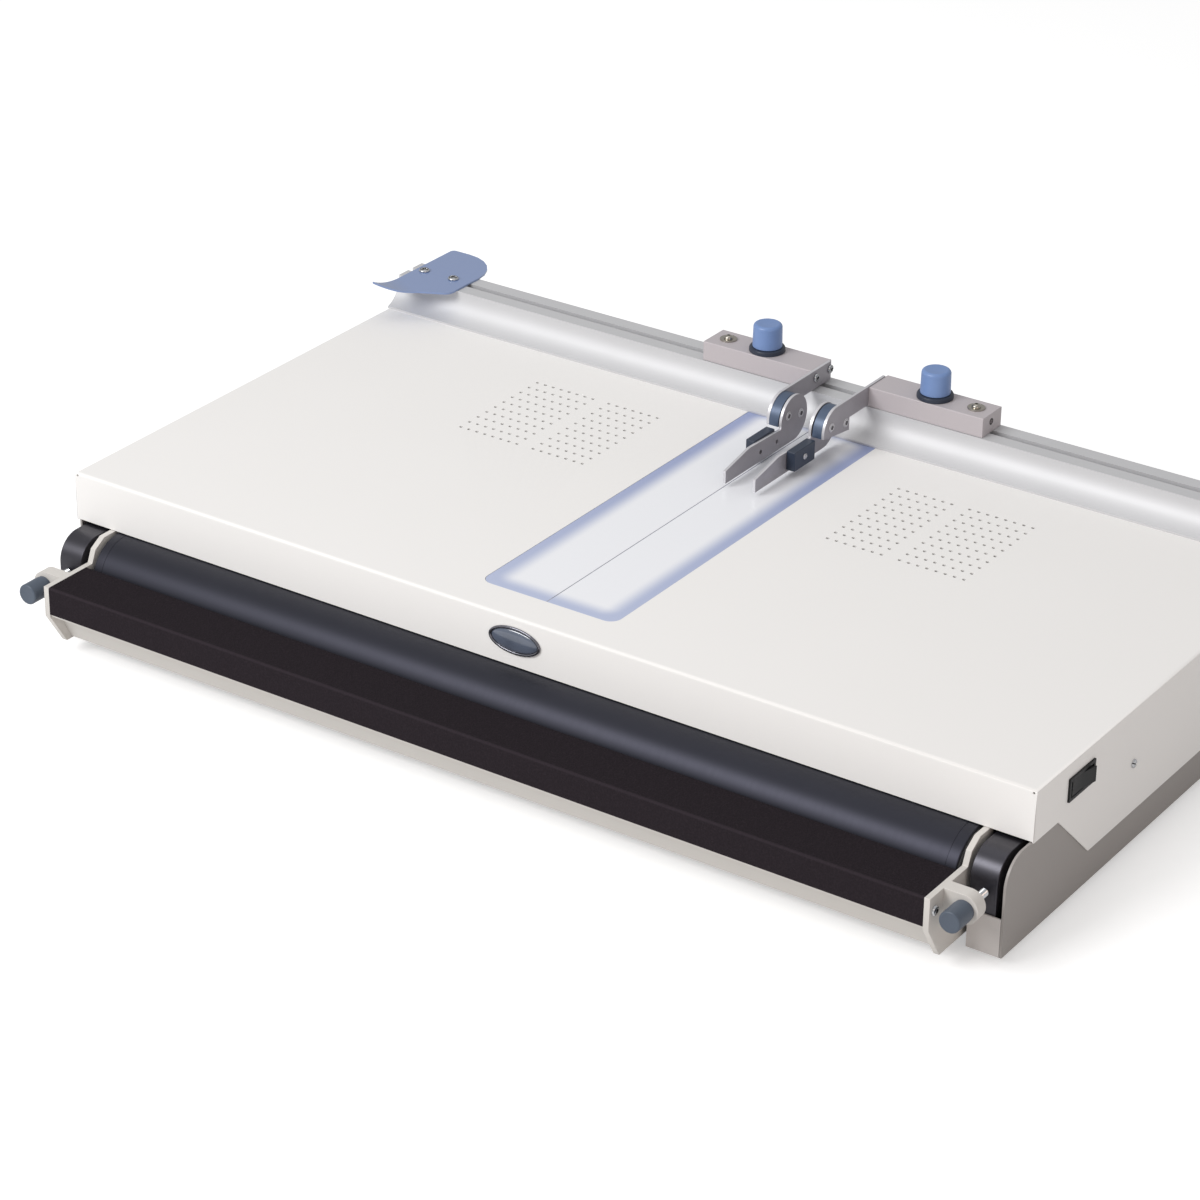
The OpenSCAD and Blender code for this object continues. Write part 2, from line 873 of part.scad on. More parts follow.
module wing_outline() {
  soft_r = 15;
  front_r = 12;
  back_r = 48;
  tail_r = 5;
  polygon(rounded([
    [wing_point(wing_edge_shares[0]), 0],
    [wing_point(wing_edge_shares[1]), soft_r],
    [wing_point(wing_edge_shares[2]), soft_r],
    [wing_point(wing_edge_shares[3]), front_r],
    [[wing_x + wing_w, wing_back], back_r],
    [[wing_x, wing_back], tail_r]
  ]));
}

// The sheet in depth and height: flat behind the fold, rolled up ahead of it
module wing_profile(reach) {
  roll_turn = 45;
  steps = 4 * corner_steps;
  function roll(r) = [
    for (i = [0 : steps])
      let (t = roll_turn * i / steps) [-r * sin(t), wing_t + curl_r - r * cos(t)]
  ];
  low = roll(curl_r + wing_t);
  polygon([[reach, 0], [reach, wing_t], each roll(curl_r), for (i = [steps : -1 : 0]) low[i]]);
}

module guide_wing() {
  fold = [wing_point(fold_shares[0]), wing_point(fold_shares[1])];
  fold_turn = atan2(fold[1].y - fold[0].y, fold[1].x - fold[0].x);
  reach = wing_l + wing_w;
  color(wing_blue) at_table() difference() {
    intersection() {
      along_z([rail_h - overrun, rail_h + curl_r]) wing_outline();
      translate([fold[0].x, fold[0].y, rail_h]) rotate(fold_turn)
        along_x([-reach, reach]) wing_profile(reach);
    }
    for (x = wing_screw_in)
      rod_z(wing_x + x, slot_y, [rail_h - overrun, rail_h + wing_t + overrun],
            wing_screw_r + running_fit);
  }
}

// A roller housing: a shell over the bearing block, open below and behind
module roller_housing() {
  inset = housing_front - lip_y;
  back = roller_y + housing_back;
  journal_gap = 1.5;
  difference() {
    along_x([housing_x0, housing_x1]) nose_outline(inset, back, pan_top);
    along_x([housing_x0 + housing_t, housing_x1 - housing_t])
      nose_outline(inset + housing_t, back + overrun, pan_top - overrun);
    rod_x([housing_x0 - overrun, housing_x0 + housing_t + overrun], roller_y, roller_z,
          shoulder_r + journal_gap);
  }
}

module left_roller_housing() {
  color(black_gloss) at_table() mirror([1, 0, 0]) roller_housing();
}

module right_roller_housing() {
  color(black_gloss) at_table() roller_housing();
}

pivot_block_gap = 2;
pivot_block_x0 = end_plate_x1 + pivot_block_gap;
pivot_block_w = 12;

module bearing_blocks() {
  wall = 6.5;
  top_wall = 14;
  half = bearing_r + wall;
  pivot_half = 8;
  pivot_top = 12;
  x0 = housing_x0 + housing_t;
  color(steel) at_table() pair() {
    difference() {
      along_x([x0, x0 + bearing_block_w]) {
        rectangle([roller_y - half, pan_top], [roller_y + half, roller_z]);
        translate([roller_y, roller_z]) circle(half);
      }
      rod_x([x0 - overrun, x0 + bearing_block_w + overrun], roller_y, roller_z,
            bearing_r + running_fit);
    }
    difference() {
      block([pivot_block_x0, pivot_block_x0 + pivot_block_w],
            [pivot_y - pivot_half, pivot_y + pivot_half],
            [pan_top, pivot_z + pivot_top]);
      rod_x([pivot_block_x0 - overrun, side_x], pivot_y, pivot_z, pivot_r);
    }
  }
}

module roller_bearings() {
  race = 2.5;
  recess = 1;
  bore_r = journal_r + running_fit;
  color(zinc) at_table() pair() translate([bearing_x0, roller_y, roller_z]) rotate([0, 90, 0])
    rotate_extrude() polygon([
      [bore_r, 0], [bore_r + race, 0], [bore_r + race, recess],
      [bearing_r - race, recess], [bearing_r - race, 0], [bearing_r, 0],
      [bearing_r, bearing_w], [bearing_r - race, bearing_w],
      [bearing_r - race, bearing_w - recess], [bore_r + race, bearing_w - recess],
      [bore_r + race, bearing_w], [bore_r, bearing_w]
    ]);
}

// The drive at the left end
bracket_t = 3;
gear_half = 30;
gear_l = 54;
can_r = 26;
can_l = 90;
motor_bore = 19;
bracket_gap = 4;
bracket_x = pulley_x0 - bracket_gap;

module drive_motor() {
  gear_r = 4;
  x = -bracket_x + bracket_t;
  color(steel) at_table() difference() {
    union() {
      along_x([x, x + gear_l]) polygon(rounded([
        for (c = [[-1, -1], [1, -1], [1, 1], [-1, 1]])
          [[motor_y, motor_z] + c * gear_half, gear_r]
      ]));
      rod_x([x + gear_l, x + gear_l + can_l], motor_y, motor_z, can_r);
    }
    rod_x([x - overrun, x + motor_bore], motor_y, motor_z, motor_shaft_r + running_fit);
  }
}

module motor_bracket() {
  foot_l = 32;
  pilot_r = 12;
  edge = 2;
  half = gear_half + edge;
  x = -bracket_x;
  color(zinc) at_table() difference() {
    union() {
      block([x, x + bracket_t], [motor_y - half, motor_y + half], [pan_top, motor_z + half]);
      block([x, x + foot_l], [motor_y - half, motor_y + half], [pan_top, pan_top + bracket_t]);
    }
    rod_x([x - overrun, x + bracket_t + overrun], motor_y, motor_z, pilot_r);
  }
}

// Outline round two circles with straight tangents between them
function belt_outline(a, ra, b, rb) =
  let (
    lean = atan2(b.y - a.y, b.x - a.x),
    open = acos((ra - rb) / norm(b - a)),
    steps = 4 * corner_steps
  )
  [
    for (i = [0 : steps])
      let (t = lean + open + (360 - 2 * open) * i / steps) a + ra * [cos(t), sin(t)],
    for (i = [0 : steps])
      let (t = lean - open + 2 * open * i / steps) b + rb * [cos(t), sin(t)]
  ];

module drive_belt() {
  a = [roller_y, roller_z];
  b = [motor_y, motor_z];
  inner = [roller_pulley_r + seat, motor_pulley_r + seat];
  edge = pulley_flange_t + seat;
  color(black_plastic) at_table() along_x([-pulley_x1 + edge, -pulley_x0 - edge]) difference() {
    polygon(belt_outline(a, inner[0] + belt_t, b, inner[1] + belt_t));
    polygon(belt_outline(a, inner[0], b, inner[1]));
  }
}

module pulley(r, bore_r) {
  rim_r = r + pulley_flange_rise;
  rotate([0, 90, 0]) rotate_extrude() polygon([
    [bore_r, 0], [rim_r, 0], [rim_r, pulley_flange_t], [r, pulley_flange_t],
    [r, pulley_w - pulley_flange_t], [rim_r, pulley_w - pulley_flange_t],
    [rim_r, pulley_w], [bore_r, pulley_w]
  ]);
}

module roller_pulley() {
  color(aluminium) at_table() translate([-pulley_x1, roller_y, roller_z])
    pulley(roller_pulley_r, journal_r);
}

module motor_pulley() {
  color(aluminium) at_table() {
    translate([-pulley_x1, motor_y, motor_z]) pulley(motor_pulley_r, 0);
    rod_x([-pulley_x0, -bracket_x + bracket_t + motor_bore - seat], motor_y, motor_z,
          motor_shaft_r);
  }
}

// The electrical parts
supply_side = 190;
supply_w = 100;
supply_x = [side_x - supply_side - supply_w, side_x - supply_side];
supply_y = [200, 330];
supply_h = 38;

module power_supply() {
  lid = 1;
  edge = 2;
  color(zinc) at_table() {
    block(supply_x, supply_y, [pan_top, pan_top + supply_h]);
    block(supply_x + [-edge, edge], supply_y + [-edge, edge],
          [pan_top + supply_h, pan_top + supply_h + lid]);
  }
}

lead_r = 2.5;

module lead(route) {
  for (i = [1 : len(route) - 1]) strut(route[i - 1], route[i], lead_r);
  for (i = [1 : len(route) - 2]) translate(route[i]) sphere(lead_r);
}

inlet_d = 18;

module power_leads() {
  z = pan_top + lead_r + seat;
  rise = 60;
  supply_mid = (supply_y[0] + supply_y[1]) / 2;
  inlet_back = back_y - inlet_d;
  switch_back = side_x - switch_d;
  switch_in = 30;
  motor_end = -bracket_x + bracket_t + gear_l + can_l;
  motor_turn = motor_end + rise;
  box_x = light_x - rise / 2;
  color(black_plastic) at_table() {
    lead([[inlet_x, inlet_back - seat, inlet_z], [inlet_x, inlet_back - rise, inlet_z],
          [inlet_x, inlet_back - rise, z], [inlet_x, supply_mid, z], [supply_x[1] + seat, supply_mid, z]]);
    lead([[supply_x[1] + seat, supply_mid - rise / 2, z], [switch_back - switch_in, supply_mid - rise / 2, z],
          [switch_back - switch_in, switch_y, z], [switch_back - switch_in, switch_y, -switch_drop],
          [switch_back - seat, switch_y, -switch_drop]]);
    lead([[supply_x[0] - seat, supply_mid - rise / 2, z], [motor_turn, supply_mid - rise / 2, z],
          [motor_turn, motor_y, z], [motor_turn, motor_y, motor_z], [motor_end + seat, motor_y, motor_z]]);
    lead([[supply_x[0] - seat, supply_mid, z], [box_x, supply_mid, z],
          [box_x, supply_mid, -light_box_h - seat]]);
  }
}

module power_inlet() {
  flange_w = 2.5;
  flange_x = 50;
  flange_z = 24;
  room = [24, 16];
  room_d = 15;
  clear = seat;
  pin_half = [1, 2];
  pin_step = 7;
  pin_rise = 1;
  body = [inlet_w / 2 - clear, inlet_h / 2 - clear];
  color(black_plastic) at_table() translate([inlet_x, back_y, inlet_z]) {
    difference() {
      union() {
        block([-body.x, body.x], [-inlet_d, 0], [-body.y, body.y]);
        block([-flange_x / 2, flange_x / 2], [0, flange_w], [-flange_z / 2, flange_z / 2]);
      }
      block([-room.x / 2, room.x / 2], [-room_d, flange_w + overrun], [-room.y / 2, room.y / 2]);
    }
    for (place = [[-pin_step, -pin_rise], [0, pin_rise], [pin_step, -pin_rise]])
      block([place.x - pin_half.x, place.x + pin_half.x], [-room_d, -overrun],
            [place.y - pin_half.y, place.y + pin_half.y]);
  }
}

// The rocker switch, drawn with the room its rocker swings in
rocker_pivot_in = 4;
rocker_pin_r = 1.5;
rocker_face = bezel_t - seat;
rocker_ridge = (rocker_pivot_in + rocker_face) * sin(rocker_tilt);
rocker_half = (rocker_room_l / 2 - seat - rocker_ridge) * cos(rocker_tilt);

module switch_housing() {
  pin_room = rocker_wall;
  color(black_plastic) at_table() translate([side_x, switch_y, -switch_drop]) difference() {
    union() {
      block([0, bezel_t], [-bezel_l / 2, bezel_l / 2], [-bezel_h / 2, bezel_h / 2]);
      block([-switch_d, 0], [-switch_body_l / 2, switch_body_l / 2],
            [-switch_body_h / 2, switch_body_h / 2]);
    }
    block([-switch_d / 2, bezel_t + overrun], [-rocker_room_l / 2, rocker_room_l / 2],
          [-rocker_room_h / 2, rocker_room_h / 2]);
    rod_z(-rocker_pivot_in, 0, [-rocker_room_h / 2 - pin_room, rocker_room_h / 2 + pin_room],
          rocker_pin_r + running_fit);
  }
}

module switch_rocker() {
  half_h = rocker_room_h / 2 - seat;
  rise = rocker_half * tan(rocker_tilt);
  keel = 5;
  hip_share = 0.4;
  color(black_gloss) at_table() translate([side_x, switch_y, -switch_drop]) {
    along_z([-half_h, half_h]) polygon([
      [rocker_face, -rocker_half], [rocker_face, 0], [rocker_face + rise, rocker_half],
      [-rocker_pivot_in, rocker_half * hip_share], [-rocker_pivot_in - keel, 0],
      [-rocker_pivot_in, -rocker_half * hip_share]
    ]);
    rod_z(-rocker_pivot_in, 0, [-rocker_room_h / 2 - rocker_wall + seat,
                                rocker_room_h / 2 + rocker_wall - seat], rocker_pin_r);
  }
}

// The pivot shaft of the nip bar and its springs
module nip_pivot_shaft() {
  shaft_out = pivot_block_x0 + pivot_block_w;
  color(zinc) at_table() rod_x([-shaft_out, shaft_out], pivot_y, pivot_z, pivot_r);
}

module nip_springs() {
  coil_w = 14;
  leg_run = 26;
  hook_run = 18;
  x1 = end_plate_x0 - seat;
  x0 = x1 - coil_w;
  low = pivot_z - coil_r;
  leg_end = pan_top + wire_r + seat;
  color(steel) at_table() pair() {
    difference() {
      rod_x([x0, x1], pivot_y, pivot_z, coil_r + wire_r);
      rod_x([x0 - overrun, x1 + overrun], pivot_y, pivot_z, coil_r - wire_r);
    }
    strut([x0 + wire_r, pivot_y, low], [x0 + wire_r, pivot_y + leg_run, leg_end], wire_r);
    rod_y(x1 - wire_r, [pivot_y - hook_run, pivot_y], low, wire_r);
    translate([x1 - wire_r, pivot_y - hook_run, low]) sphere(wire_r);
    rod_x([x1 - wire_r, x1 + end_plate_t / 2], pivot_y - hook_run, low, wire_r);
  }
}

// The driven roller
ring_in = 10;
ring_w = 1;
ring_depth = 0.6;

module roller_sleeve() {
  color(rubber_grey) at_table() difference() {
    rod_x([-roller_x, roller_x], roller_y, roller_z, roller_r, $fn = 96);
    rod_x([-roller_x - overrun, roller_x + overrun], roller_y, roller_z, roller_r - sleeve_t);
    pair() difference() {
      rod_x([roller_x - ring_in - ring_w, roller_x - ring_in], roller_y, roller_z,
            roller_r + overrun);
      rod_x([roller_x - ring_in - ring_w - overrun, roller_x - ring_in + overrun], roller_y,
            roller_z, roller_r - ring_depth);
    }
  }
}

plug_w = 20;
core_r = roller_r - sleeve_t;

module roller_core() {
  color(aluminium) at_table() difference() {
    rod_x([-roller_x, roller_x], roller_y, roller_z, core_r);
    rod_x([plug_w - roller_x, roller_x - plug_w], roller_y, roller_z, core_r - tube_wall);
    rod_x([-roller_x - overrun, roller_x + overrun], roller_y, roller_z, shoulder_r);
  }
}

module roller_shafts() {
  journal_out = 2;
  shoulder_x = bearing_x0 - seat;
  color(steel) at_table() {
    pair() rod_x([roller_x - plug_w, shoulder_x], roller_y, roller_z, shoulder_r);
    rod_x([shoulder_x, bearing_x1 + journal_out], roller_y, roller_z, journal_r);
    rod_x([-pulley_x1, -shoulder_x], roller_y, roller_z, journal_r);
  }
}

// The nip bar: foam on a folded beam between two end plates
module nip_beam() {
  lap = 5;
  hem = 10;
  flange_run = 17;
  rear_h = 20;
  rear = foam_back - lap / 2;
  front = foam_front + flange_t;
  low = leg_low + flange_t;
  color(warm_grey) at_table() along_x([-end_plate_x0, end_plate_x0]) {
    rectangle([front, beam_low], [rear, foam_low]);
    polygon([
      [front + hem, foam_low], [front + hem, beam_low], [front + hem + flange_run, low],
      [front + hem + flange_t + flange_run, low], [front + hem + flange_t, beam_low],
      [front + hem + flange_t, foam_low]
    ]);
    rectangle([rear - flange_t, beam_low - rear_h], [rear, foam_low]);
  }
}

module nip_foam() {
  soft = 1.5;
  color(foam_black) at_table() along_x([-end_plate_x0, end_plate_x0]) polygon(rounded([
    [[foam_front, foam_low], 0], [[foam_back, foam_low], 0],
    [[foam_back, foam_top], soft], [[foam_front, foam_top], soft]
  ]));
}

module end_plate_outline() {
  slot_gap = 6;
  slot_r = shoulder_r + slot_gap;
  horn_top = -front_skirt_h - 2 * seat;
  horn_back = 7.5;
  horn_front = 14.5;
  neck_front = 28.5;
  step_back = 8;
  difference() {
    union() {
      polygon([
        [roller_y + horn_back, horn_top], [roller_y - horn_front, horn_top],
        [roller_y - neck_front, roller_z + roller_r * 4 / 5],
        [foam_back + step_back, foam_top], [foam_front, foam_top],
        [foam_front, beam_low], [leg_tip_y, leg_low], [roller_y - roller_r / 2, leg_low],
        [roller_y, spring_edge], [pivot_y, spring_edge], [pivot_y, pivot_z + boss_r],
        [roller_y + slot_r, roller_z - slot_r]
      ]);
      translate([pivot_y, pivot_z]) circle(boss_r);
    }
    translate([pivot_y, pivot_z]) circle(pivot_r + running_fit);
    translate([roller_y, roller_z]) circle(slot_r);
    rectangle([roller_y, roller_z - slot_r], [pivot_y + boss_r, roller_z + slot_r]);
  }
}

module end_plate() {
  difference() {
    union() {
      along_x([end_plate_x0, end_plate_x1]) end_plate_outline();
      along_y([ear_y0, ear_y1]) {
        r = foam_h / 2;
        rectangle([end_plate_x1 - overrun, foam_low], [ear_x1 - r, foam_top]);
        translate([ear_x1 - r, gap_z]) circle(r);
      }
    }
    rod_y(gap_x, [ear_y0 - overrun, ear_y1 + overrun], gap_z, gap_screw_r + running_fit);
    rod_x([end_plate_x0 - overrun, end_plate_x1 + overrun], nip_screw_y, gap_z, nip_shank_r);
  }
}

nip_screw_y = foam_front + 8;
nip_shank_r = 2.5;

module left_nip_plate() {
  color(warm_grey) at_table() mirror([1, 0, 0]) end_plate();
}

module right_nip_plate() {
  color(warm_grey) at_table() end_plate();
}

module nip_screws() {
  nip_head_r = 5;
  nip_head_h = 3;
  color(zinc) at_table() pair() translate([end_plate_x1, nip_screw_y, gap_z]) rotate([0, 90, 0])
    pan_head(nip_head_r, nip_head_h, nip_shank_r, end_plate_t);
}

// A gap screw and the knob that turns it
module gap_screw() {
  rod_y(gap_x, [knob_front + gap_screw_head, gap_tip], gap_z, gap_screw_r);
}

module gap_knob() {
  round_off = 2;
  knob_end = ear_y0 - seat;
  translate([gap_x, knob_front, gap_z]) rotate([-90, 0, 0]) difference() {
    rotate_extrude() polygon(rounded([
      [[0, 0], 0], [[gap_knob_r, 0], round_off], [[gap_knob_r, knob_end - knob_front], seat],
      [[0, knob_end - knob_front], 0]
    ]));
    translate([0, 0, gap_screw_head - seat])
      cylinder(h = gap_knob_l, r = gap_screw_r + running_fit);
  }
}

module left_gap_screw() {
  color(zinc) at_table() mirror([1, 0, 0]) gap_screw();
}

module right_gap_screw() {
  color(zinc) at_table() gap_screw();
}

module left_gap_knob() {
  color(knob_grey) at_table() mirror([1, 0, 0]) gap_knob();
}

module right_gap_knob() {
  color(knob_grey) at_table() gap_knob();
}

// A carriage is drawn from its inner end outwards, and the left one is mirrored
module right_carriage() {
  at_table() translate([right_place, 0, 0]) children();
}

module left_carriage() {
  at_table() translate([left_place, 0, 0]) mirror([1, 0, 0]) children();
}

module block_screw_places() {
  inset = 3.3;
  side_in = 7.3;
  for (y = [carriage_y0 + inset, carriage_y1 - side_in])
    translate([0, y, carriage_z1 - side_in]) children();
}

tap_r = 2.1;
tap_l = 12;
tap_drop = 9;
tap_fore = 1.5;

module carriage_block() {
  edge = 1;
  difference() {
    along_x([0, carriage_l]) polygon(rounded([
      [[carriage_y0, carriage_z0], 0], [[carriage_y1, carriage_z0], 0],
      [[carriage_y1, carriage_z1], edge], [[carriage_y0, carriage_z1], edge]
    ]));
    for (u = [clamp_u, guide_u])
      rod_z(u, slot_y, [carriage_z0 - overrun, carriage_z1 + overrun], stud_r + running_fit);
    rod_x([carriage_l - tap_l, carriage_l + overrun], slot_y - tap_fore, carriage_z1 - tap_drop,
          tap_r);
    block_screw_places() rod_x([-overrun, tap_l], 0, 0, screw_r);
  }
}

module carriage_fixings() {
  guide_head_r = 9;
  guide_head_h = 2.5;
  screw_head_r = 4;
  screw_head_h = 2.6;
  low = channel_z0 + 2 * seat;
  // Clamp washer
  difference() {
    rod_z(clamp_u, slot_y, [carriage_z1, carriage_z1 + washer_t], washer_r);
    rod_z(clamp_u, slot_y, [carriage_z1 - overrun, carriage_z1 + washer_t + overrun],
          stud_r + running_fit);
  }
  // Guide screw
  rod_z(guide_u, slot_y, [low, carriage_z1], stud_r);
  rod_z(guide_u, slot_y, [carriage_z1, carriage_z1 + guide_head_h], guide_head_r);
  for (u = [clamp_u, guide_u]) slot_nut(u, stud_r + running_fit);
  // Screws that hold the bracket
  block_screw_places() translate([-arm_t, 0, 0]) rotate([0, -90, 0])
    pan_head(screw_head_r, screw_head_h, screw_r, arm_t + tap_l / 2);
}

bracket_rise = 1;
bracket_top = carriage_z1 + bracket_rise;

// Takes away what lies below the sloping lower edge of a bracket's head
module above_head_cut() {
  heel = bracket_r + bracket_rise;
  front_cut = bracket_r / 10;
  rear_cut = bracket_r * 2 / 5;
  difference() {
    union() children();
    polygon([
      [finger_y - heel - overrun, finger_z - front_cut], [finger_y + heel + overrun, finger_z - rear_cut],
      [finger_y + heel + overrun, 0], [finger_y - heel - overrun, 0]
    ]);
  }
}

module bracket_outline() {
  end_in = 5.5;
  lift = 1.5;
  end = carriage_y1 - end_in;
  low = rail_h + lift;
  above_head_cut() {
    translate([finger_y, bracket_top - bracket_r]) circle(bracket_r);
    rectangle([finger_y, low], [end, bracket_top]);
    rectangle([finger_y, finger_z - bracket_r], [finger_y + bracket_r + bracket_rise, low + overrun]);
  }
}

module arm_bracket() {
  difference() {
    along_x([-arm_t, 0]) bracket_outline();
    block_screw_places() rod_x([-arm_t - overrun, overrun], 0, 0, screw_r + running_fit);
  }
}

// The hub on a bracket, with the pin that the finger and its washer turn on
thrust_t = 1;

module pivot_hub() {
  x1 = -arm_t;
  along_x([x1 - hub_w + thrust_t + seat, x1])
    above_head_cut() translate([finger_y, finger_z]) circle(hub_r);
  rod_x([x1 - hub_w + seat, x1], finger_y, finger_z, pin_r);
}

module finger_hub() {
  thrust_r = 10;
  x0 = -arm_t - hub_w;
  difference() {
    rod_x([x0, x0 + thrust_t], finger_y, finger_z, thrust_r);
    rod_x([x0 - overrun, x0 + thrust_t + overrun], finger_y, finger_z, pin_r + running_fit);
  }
}

// Top edge of a finger, as shares of its length and of its pivot's height
finger_top_shares = [[0.2, 0.86], [0.66, 0.93]];
finger_hole_shares = [0.252, 0.492];
finger_hole_r = 2.4;

module finger_outline() {
  function top_point(share) = [finger_y - share.x * finger_l, share.y * finger_z];
  difference() {
    union() {
      translate([finger_y, finger_z]) circle(head_r);
      polygon([
        [finger_y - finger_l, finger_gap], [finger_y, finger_gap], [finger_y, finger_z],
        top_point(finger_top_shares[0]), top_point(finger_top_shares[1]),
        [finger_y - finger_l, finger_gap + tip_h]
      ]);
    }
    for (share = finger_hole_shares)
      translate([finger_y - share * finger_l, finger_z / 2]) circle(finger_hole_r);
  }
}

module finger() {
  x1 = -arm_t - hub_w;
  along_x([x1 - arm_t, x1]) finger_outline();
}

finger_block_shares = [0.552, 0.252];

module finger_block() {
  edge = 1;
  rise = 3;
  x0 = -arm_t - hub_w;
  low = finger_gap + rise;
  top = finger_z - bracket_rise;
  y = [for (share = finger_block_shares) finger_y - share * finger_l];
  along_x([x0, x0 + finger_block_w]) polygon(rounded([
    [[y[0], low], edge], [[y[1], low], edge], [[y[1], top], edge], [[y[0], top], edge]
  ]));
}

// A clamp knob with its stud
module clamp_knob() {
  dome = 5;
  base = carriage_z1 + washer_t + seat;
  translate([clamp_u, slot_y, base]) rotate_extrude() polygon(rounded([
    [[0, 0], 0], [[clamp_r, 0], seat], [[clamp_r, clamp_h], dome], [[0, clamp_h], 0]
  ]));
  rod_z(clamp_u, slot_y, [channel_z0 + 2 * seat, base], stud_r);
}

module left_carriage_block() {
  color("#AFA8A8") left_carriage() carriage_block();
}

module right_carriage_block() {
  color("#AFA8A8") right_carriage() carriage_block();
}

module left_carriage_fixings() {
  color(zinc) left_carriage() carriage_fixings();
}

module right_carriage_fixings() {
  color(zinc) right_carriage() carriage_fixings();
}

module left_arm_bracket() {
  color(steel) left_carriage() arm_bracket();
}

module right_arm_bracket() {
  color(steel) right_carriage() arm_bracket();
}

module left_pivot_hub() {
  color(hub_blue) left_carriage() pivot_hub();
}

module right_pivot_hub() {
  color(hub_blue) right_carriage() pivot_hub();
}

module left_clamp_knob() {
  color(knob_blue) left_carriage() clamp_knob();
}

module right_clamp_knob() {
  color(knob_blue) right_carriage() clamp_knob();
}

module left_finger() {
  color(steel) left_carriage() finger();
}

module right_finger() {
  color(steel) right_carriage() finger();
}

module left_finger_hub() {
  color(hub_blue) left_carriage() finger_hub();
}

module right_finger_hub() {
  color(hub_blue) right_carriage() finger_hub();
}

module left_finger_block() {
  color(slate) left_carriage() finger_block();
}

module right_finger_block() {
  color(slate) right_carriage() finger_block();
}

base_pan();
left_side_plate();
right_side_plate();
rear_panel();
cross_rails();
top_cover();
cover_screws();
base_feet();
light_window();
light_box();
light_tubes();
tube_holders();
front_badge();
fence_rail();
rail_fixings();
guide_wing();
left_roller_housing();
right_roller_housing();
bearing_blocks();
roller_bearings();
drive_motor();
motor_bracket();
drive_belt();
power_supply();
power_leads();
power_inlet();
switch_housing();
switch_rocker();
nip_pivot_shaft();
nip_springs();
roller_sleeve();
roller_core();
roller_shafts();
roller_pulley();
motor_pulley();
nip_beam();
nip_foam();
left_nip_plate();
right_nip_plate();
nip_screws();
left_gap_screw();
right_gap_screw();
left_gap_knob();
right_gap_knob();
left_carriage_block();
right_carriage_block();
left_carriage_fixings();
right_carriage_fixings();
left_arm_bracket();
right_arm_bracket();
left_pivot_hub();
right_pivot_hub();
left_clamp_knob();
right_clamp_knob();
left_finger();
right_finger();
left_finger_hub();
right_finger_hub();
left_finger_block();
right_finger_block();
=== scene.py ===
"""Case making machine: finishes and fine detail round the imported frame."""

from __future__ import annotations

import json
import logging
import math
from collections.abc import Callable
from dataclasses import dataclass, replace
from enum import Enum, StrEnum

import bmesh
import bpy
from mathutils import Matrix, Vector, noise

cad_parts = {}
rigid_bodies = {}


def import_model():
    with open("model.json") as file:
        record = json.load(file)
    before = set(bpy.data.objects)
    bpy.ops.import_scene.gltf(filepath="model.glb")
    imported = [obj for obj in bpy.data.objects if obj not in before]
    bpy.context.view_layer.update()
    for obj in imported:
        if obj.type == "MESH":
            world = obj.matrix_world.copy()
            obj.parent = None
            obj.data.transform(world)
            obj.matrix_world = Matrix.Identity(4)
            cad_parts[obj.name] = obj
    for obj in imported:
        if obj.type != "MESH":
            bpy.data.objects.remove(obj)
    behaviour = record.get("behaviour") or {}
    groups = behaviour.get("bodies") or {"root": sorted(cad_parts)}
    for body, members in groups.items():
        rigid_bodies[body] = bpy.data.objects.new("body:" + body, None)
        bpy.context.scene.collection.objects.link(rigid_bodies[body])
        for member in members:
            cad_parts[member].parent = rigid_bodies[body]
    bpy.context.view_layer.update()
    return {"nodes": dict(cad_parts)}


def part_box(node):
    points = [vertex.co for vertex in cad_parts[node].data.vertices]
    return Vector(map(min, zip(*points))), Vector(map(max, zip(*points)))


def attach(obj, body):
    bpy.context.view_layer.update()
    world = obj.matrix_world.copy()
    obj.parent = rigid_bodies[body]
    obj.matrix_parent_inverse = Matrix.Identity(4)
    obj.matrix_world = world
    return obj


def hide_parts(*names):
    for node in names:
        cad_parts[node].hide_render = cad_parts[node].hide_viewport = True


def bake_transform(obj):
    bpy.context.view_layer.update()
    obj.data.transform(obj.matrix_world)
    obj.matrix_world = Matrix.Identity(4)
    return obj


log = logging.getLogger("case_maker")

MM = 0.001
WHITE = (1.0, 1.0, 1.0, 1.0)
# Millimetres: how far apart two places may lie and count as one, and within which reach the
# corners of a CAD node's loose triangles and those of a new shape are joined
TOUCH = 0.01
NODE_MERGE, MERGE = 0.004, 0.001
# Degrees within which a CAD node's triangles lie in one flat face
FLAT = 0.5
# Share of a face's normal on an axis: over the first it faces that way, under the second
# it runs along the axis
FACING, ACROSS = 0.9, 0.1

Point = tuple[float, float, float]
Profile = list[tuple[float, float]]
Tree = bpy.types.NodeTree
Socket = bpy.types.NodeSocket

for left_over in list(bpy.data.objects):
    bpy.data.objects.remove(left_over)
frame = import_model()


class Body(StrEnum):
    """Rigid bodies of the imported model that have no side."""

    ROOT = "root"
    ROLLER = "roller"
    NIP_BAR = "nip_bar"
    ROCKER = "power_rocker"


class Side(Enum):
    """The two ends of the machine, with the sign of their X."""

    LEFT = -1
    RIGHT = 1

    def named(self, kind: str) -> str:
        """Names this side's body, node or piece of one kind.

        Args:
            kind: what it is, such as "carriage".

        Returns:
            The kind after the side's word.
        """
        return f"{self.name.lower()}_{kind}"


class Recess(Enum):
    """What a driver fits into in a screw's head."""

    SLOT = "slot"
    CROSS = "cross"
    HEX = "hex"


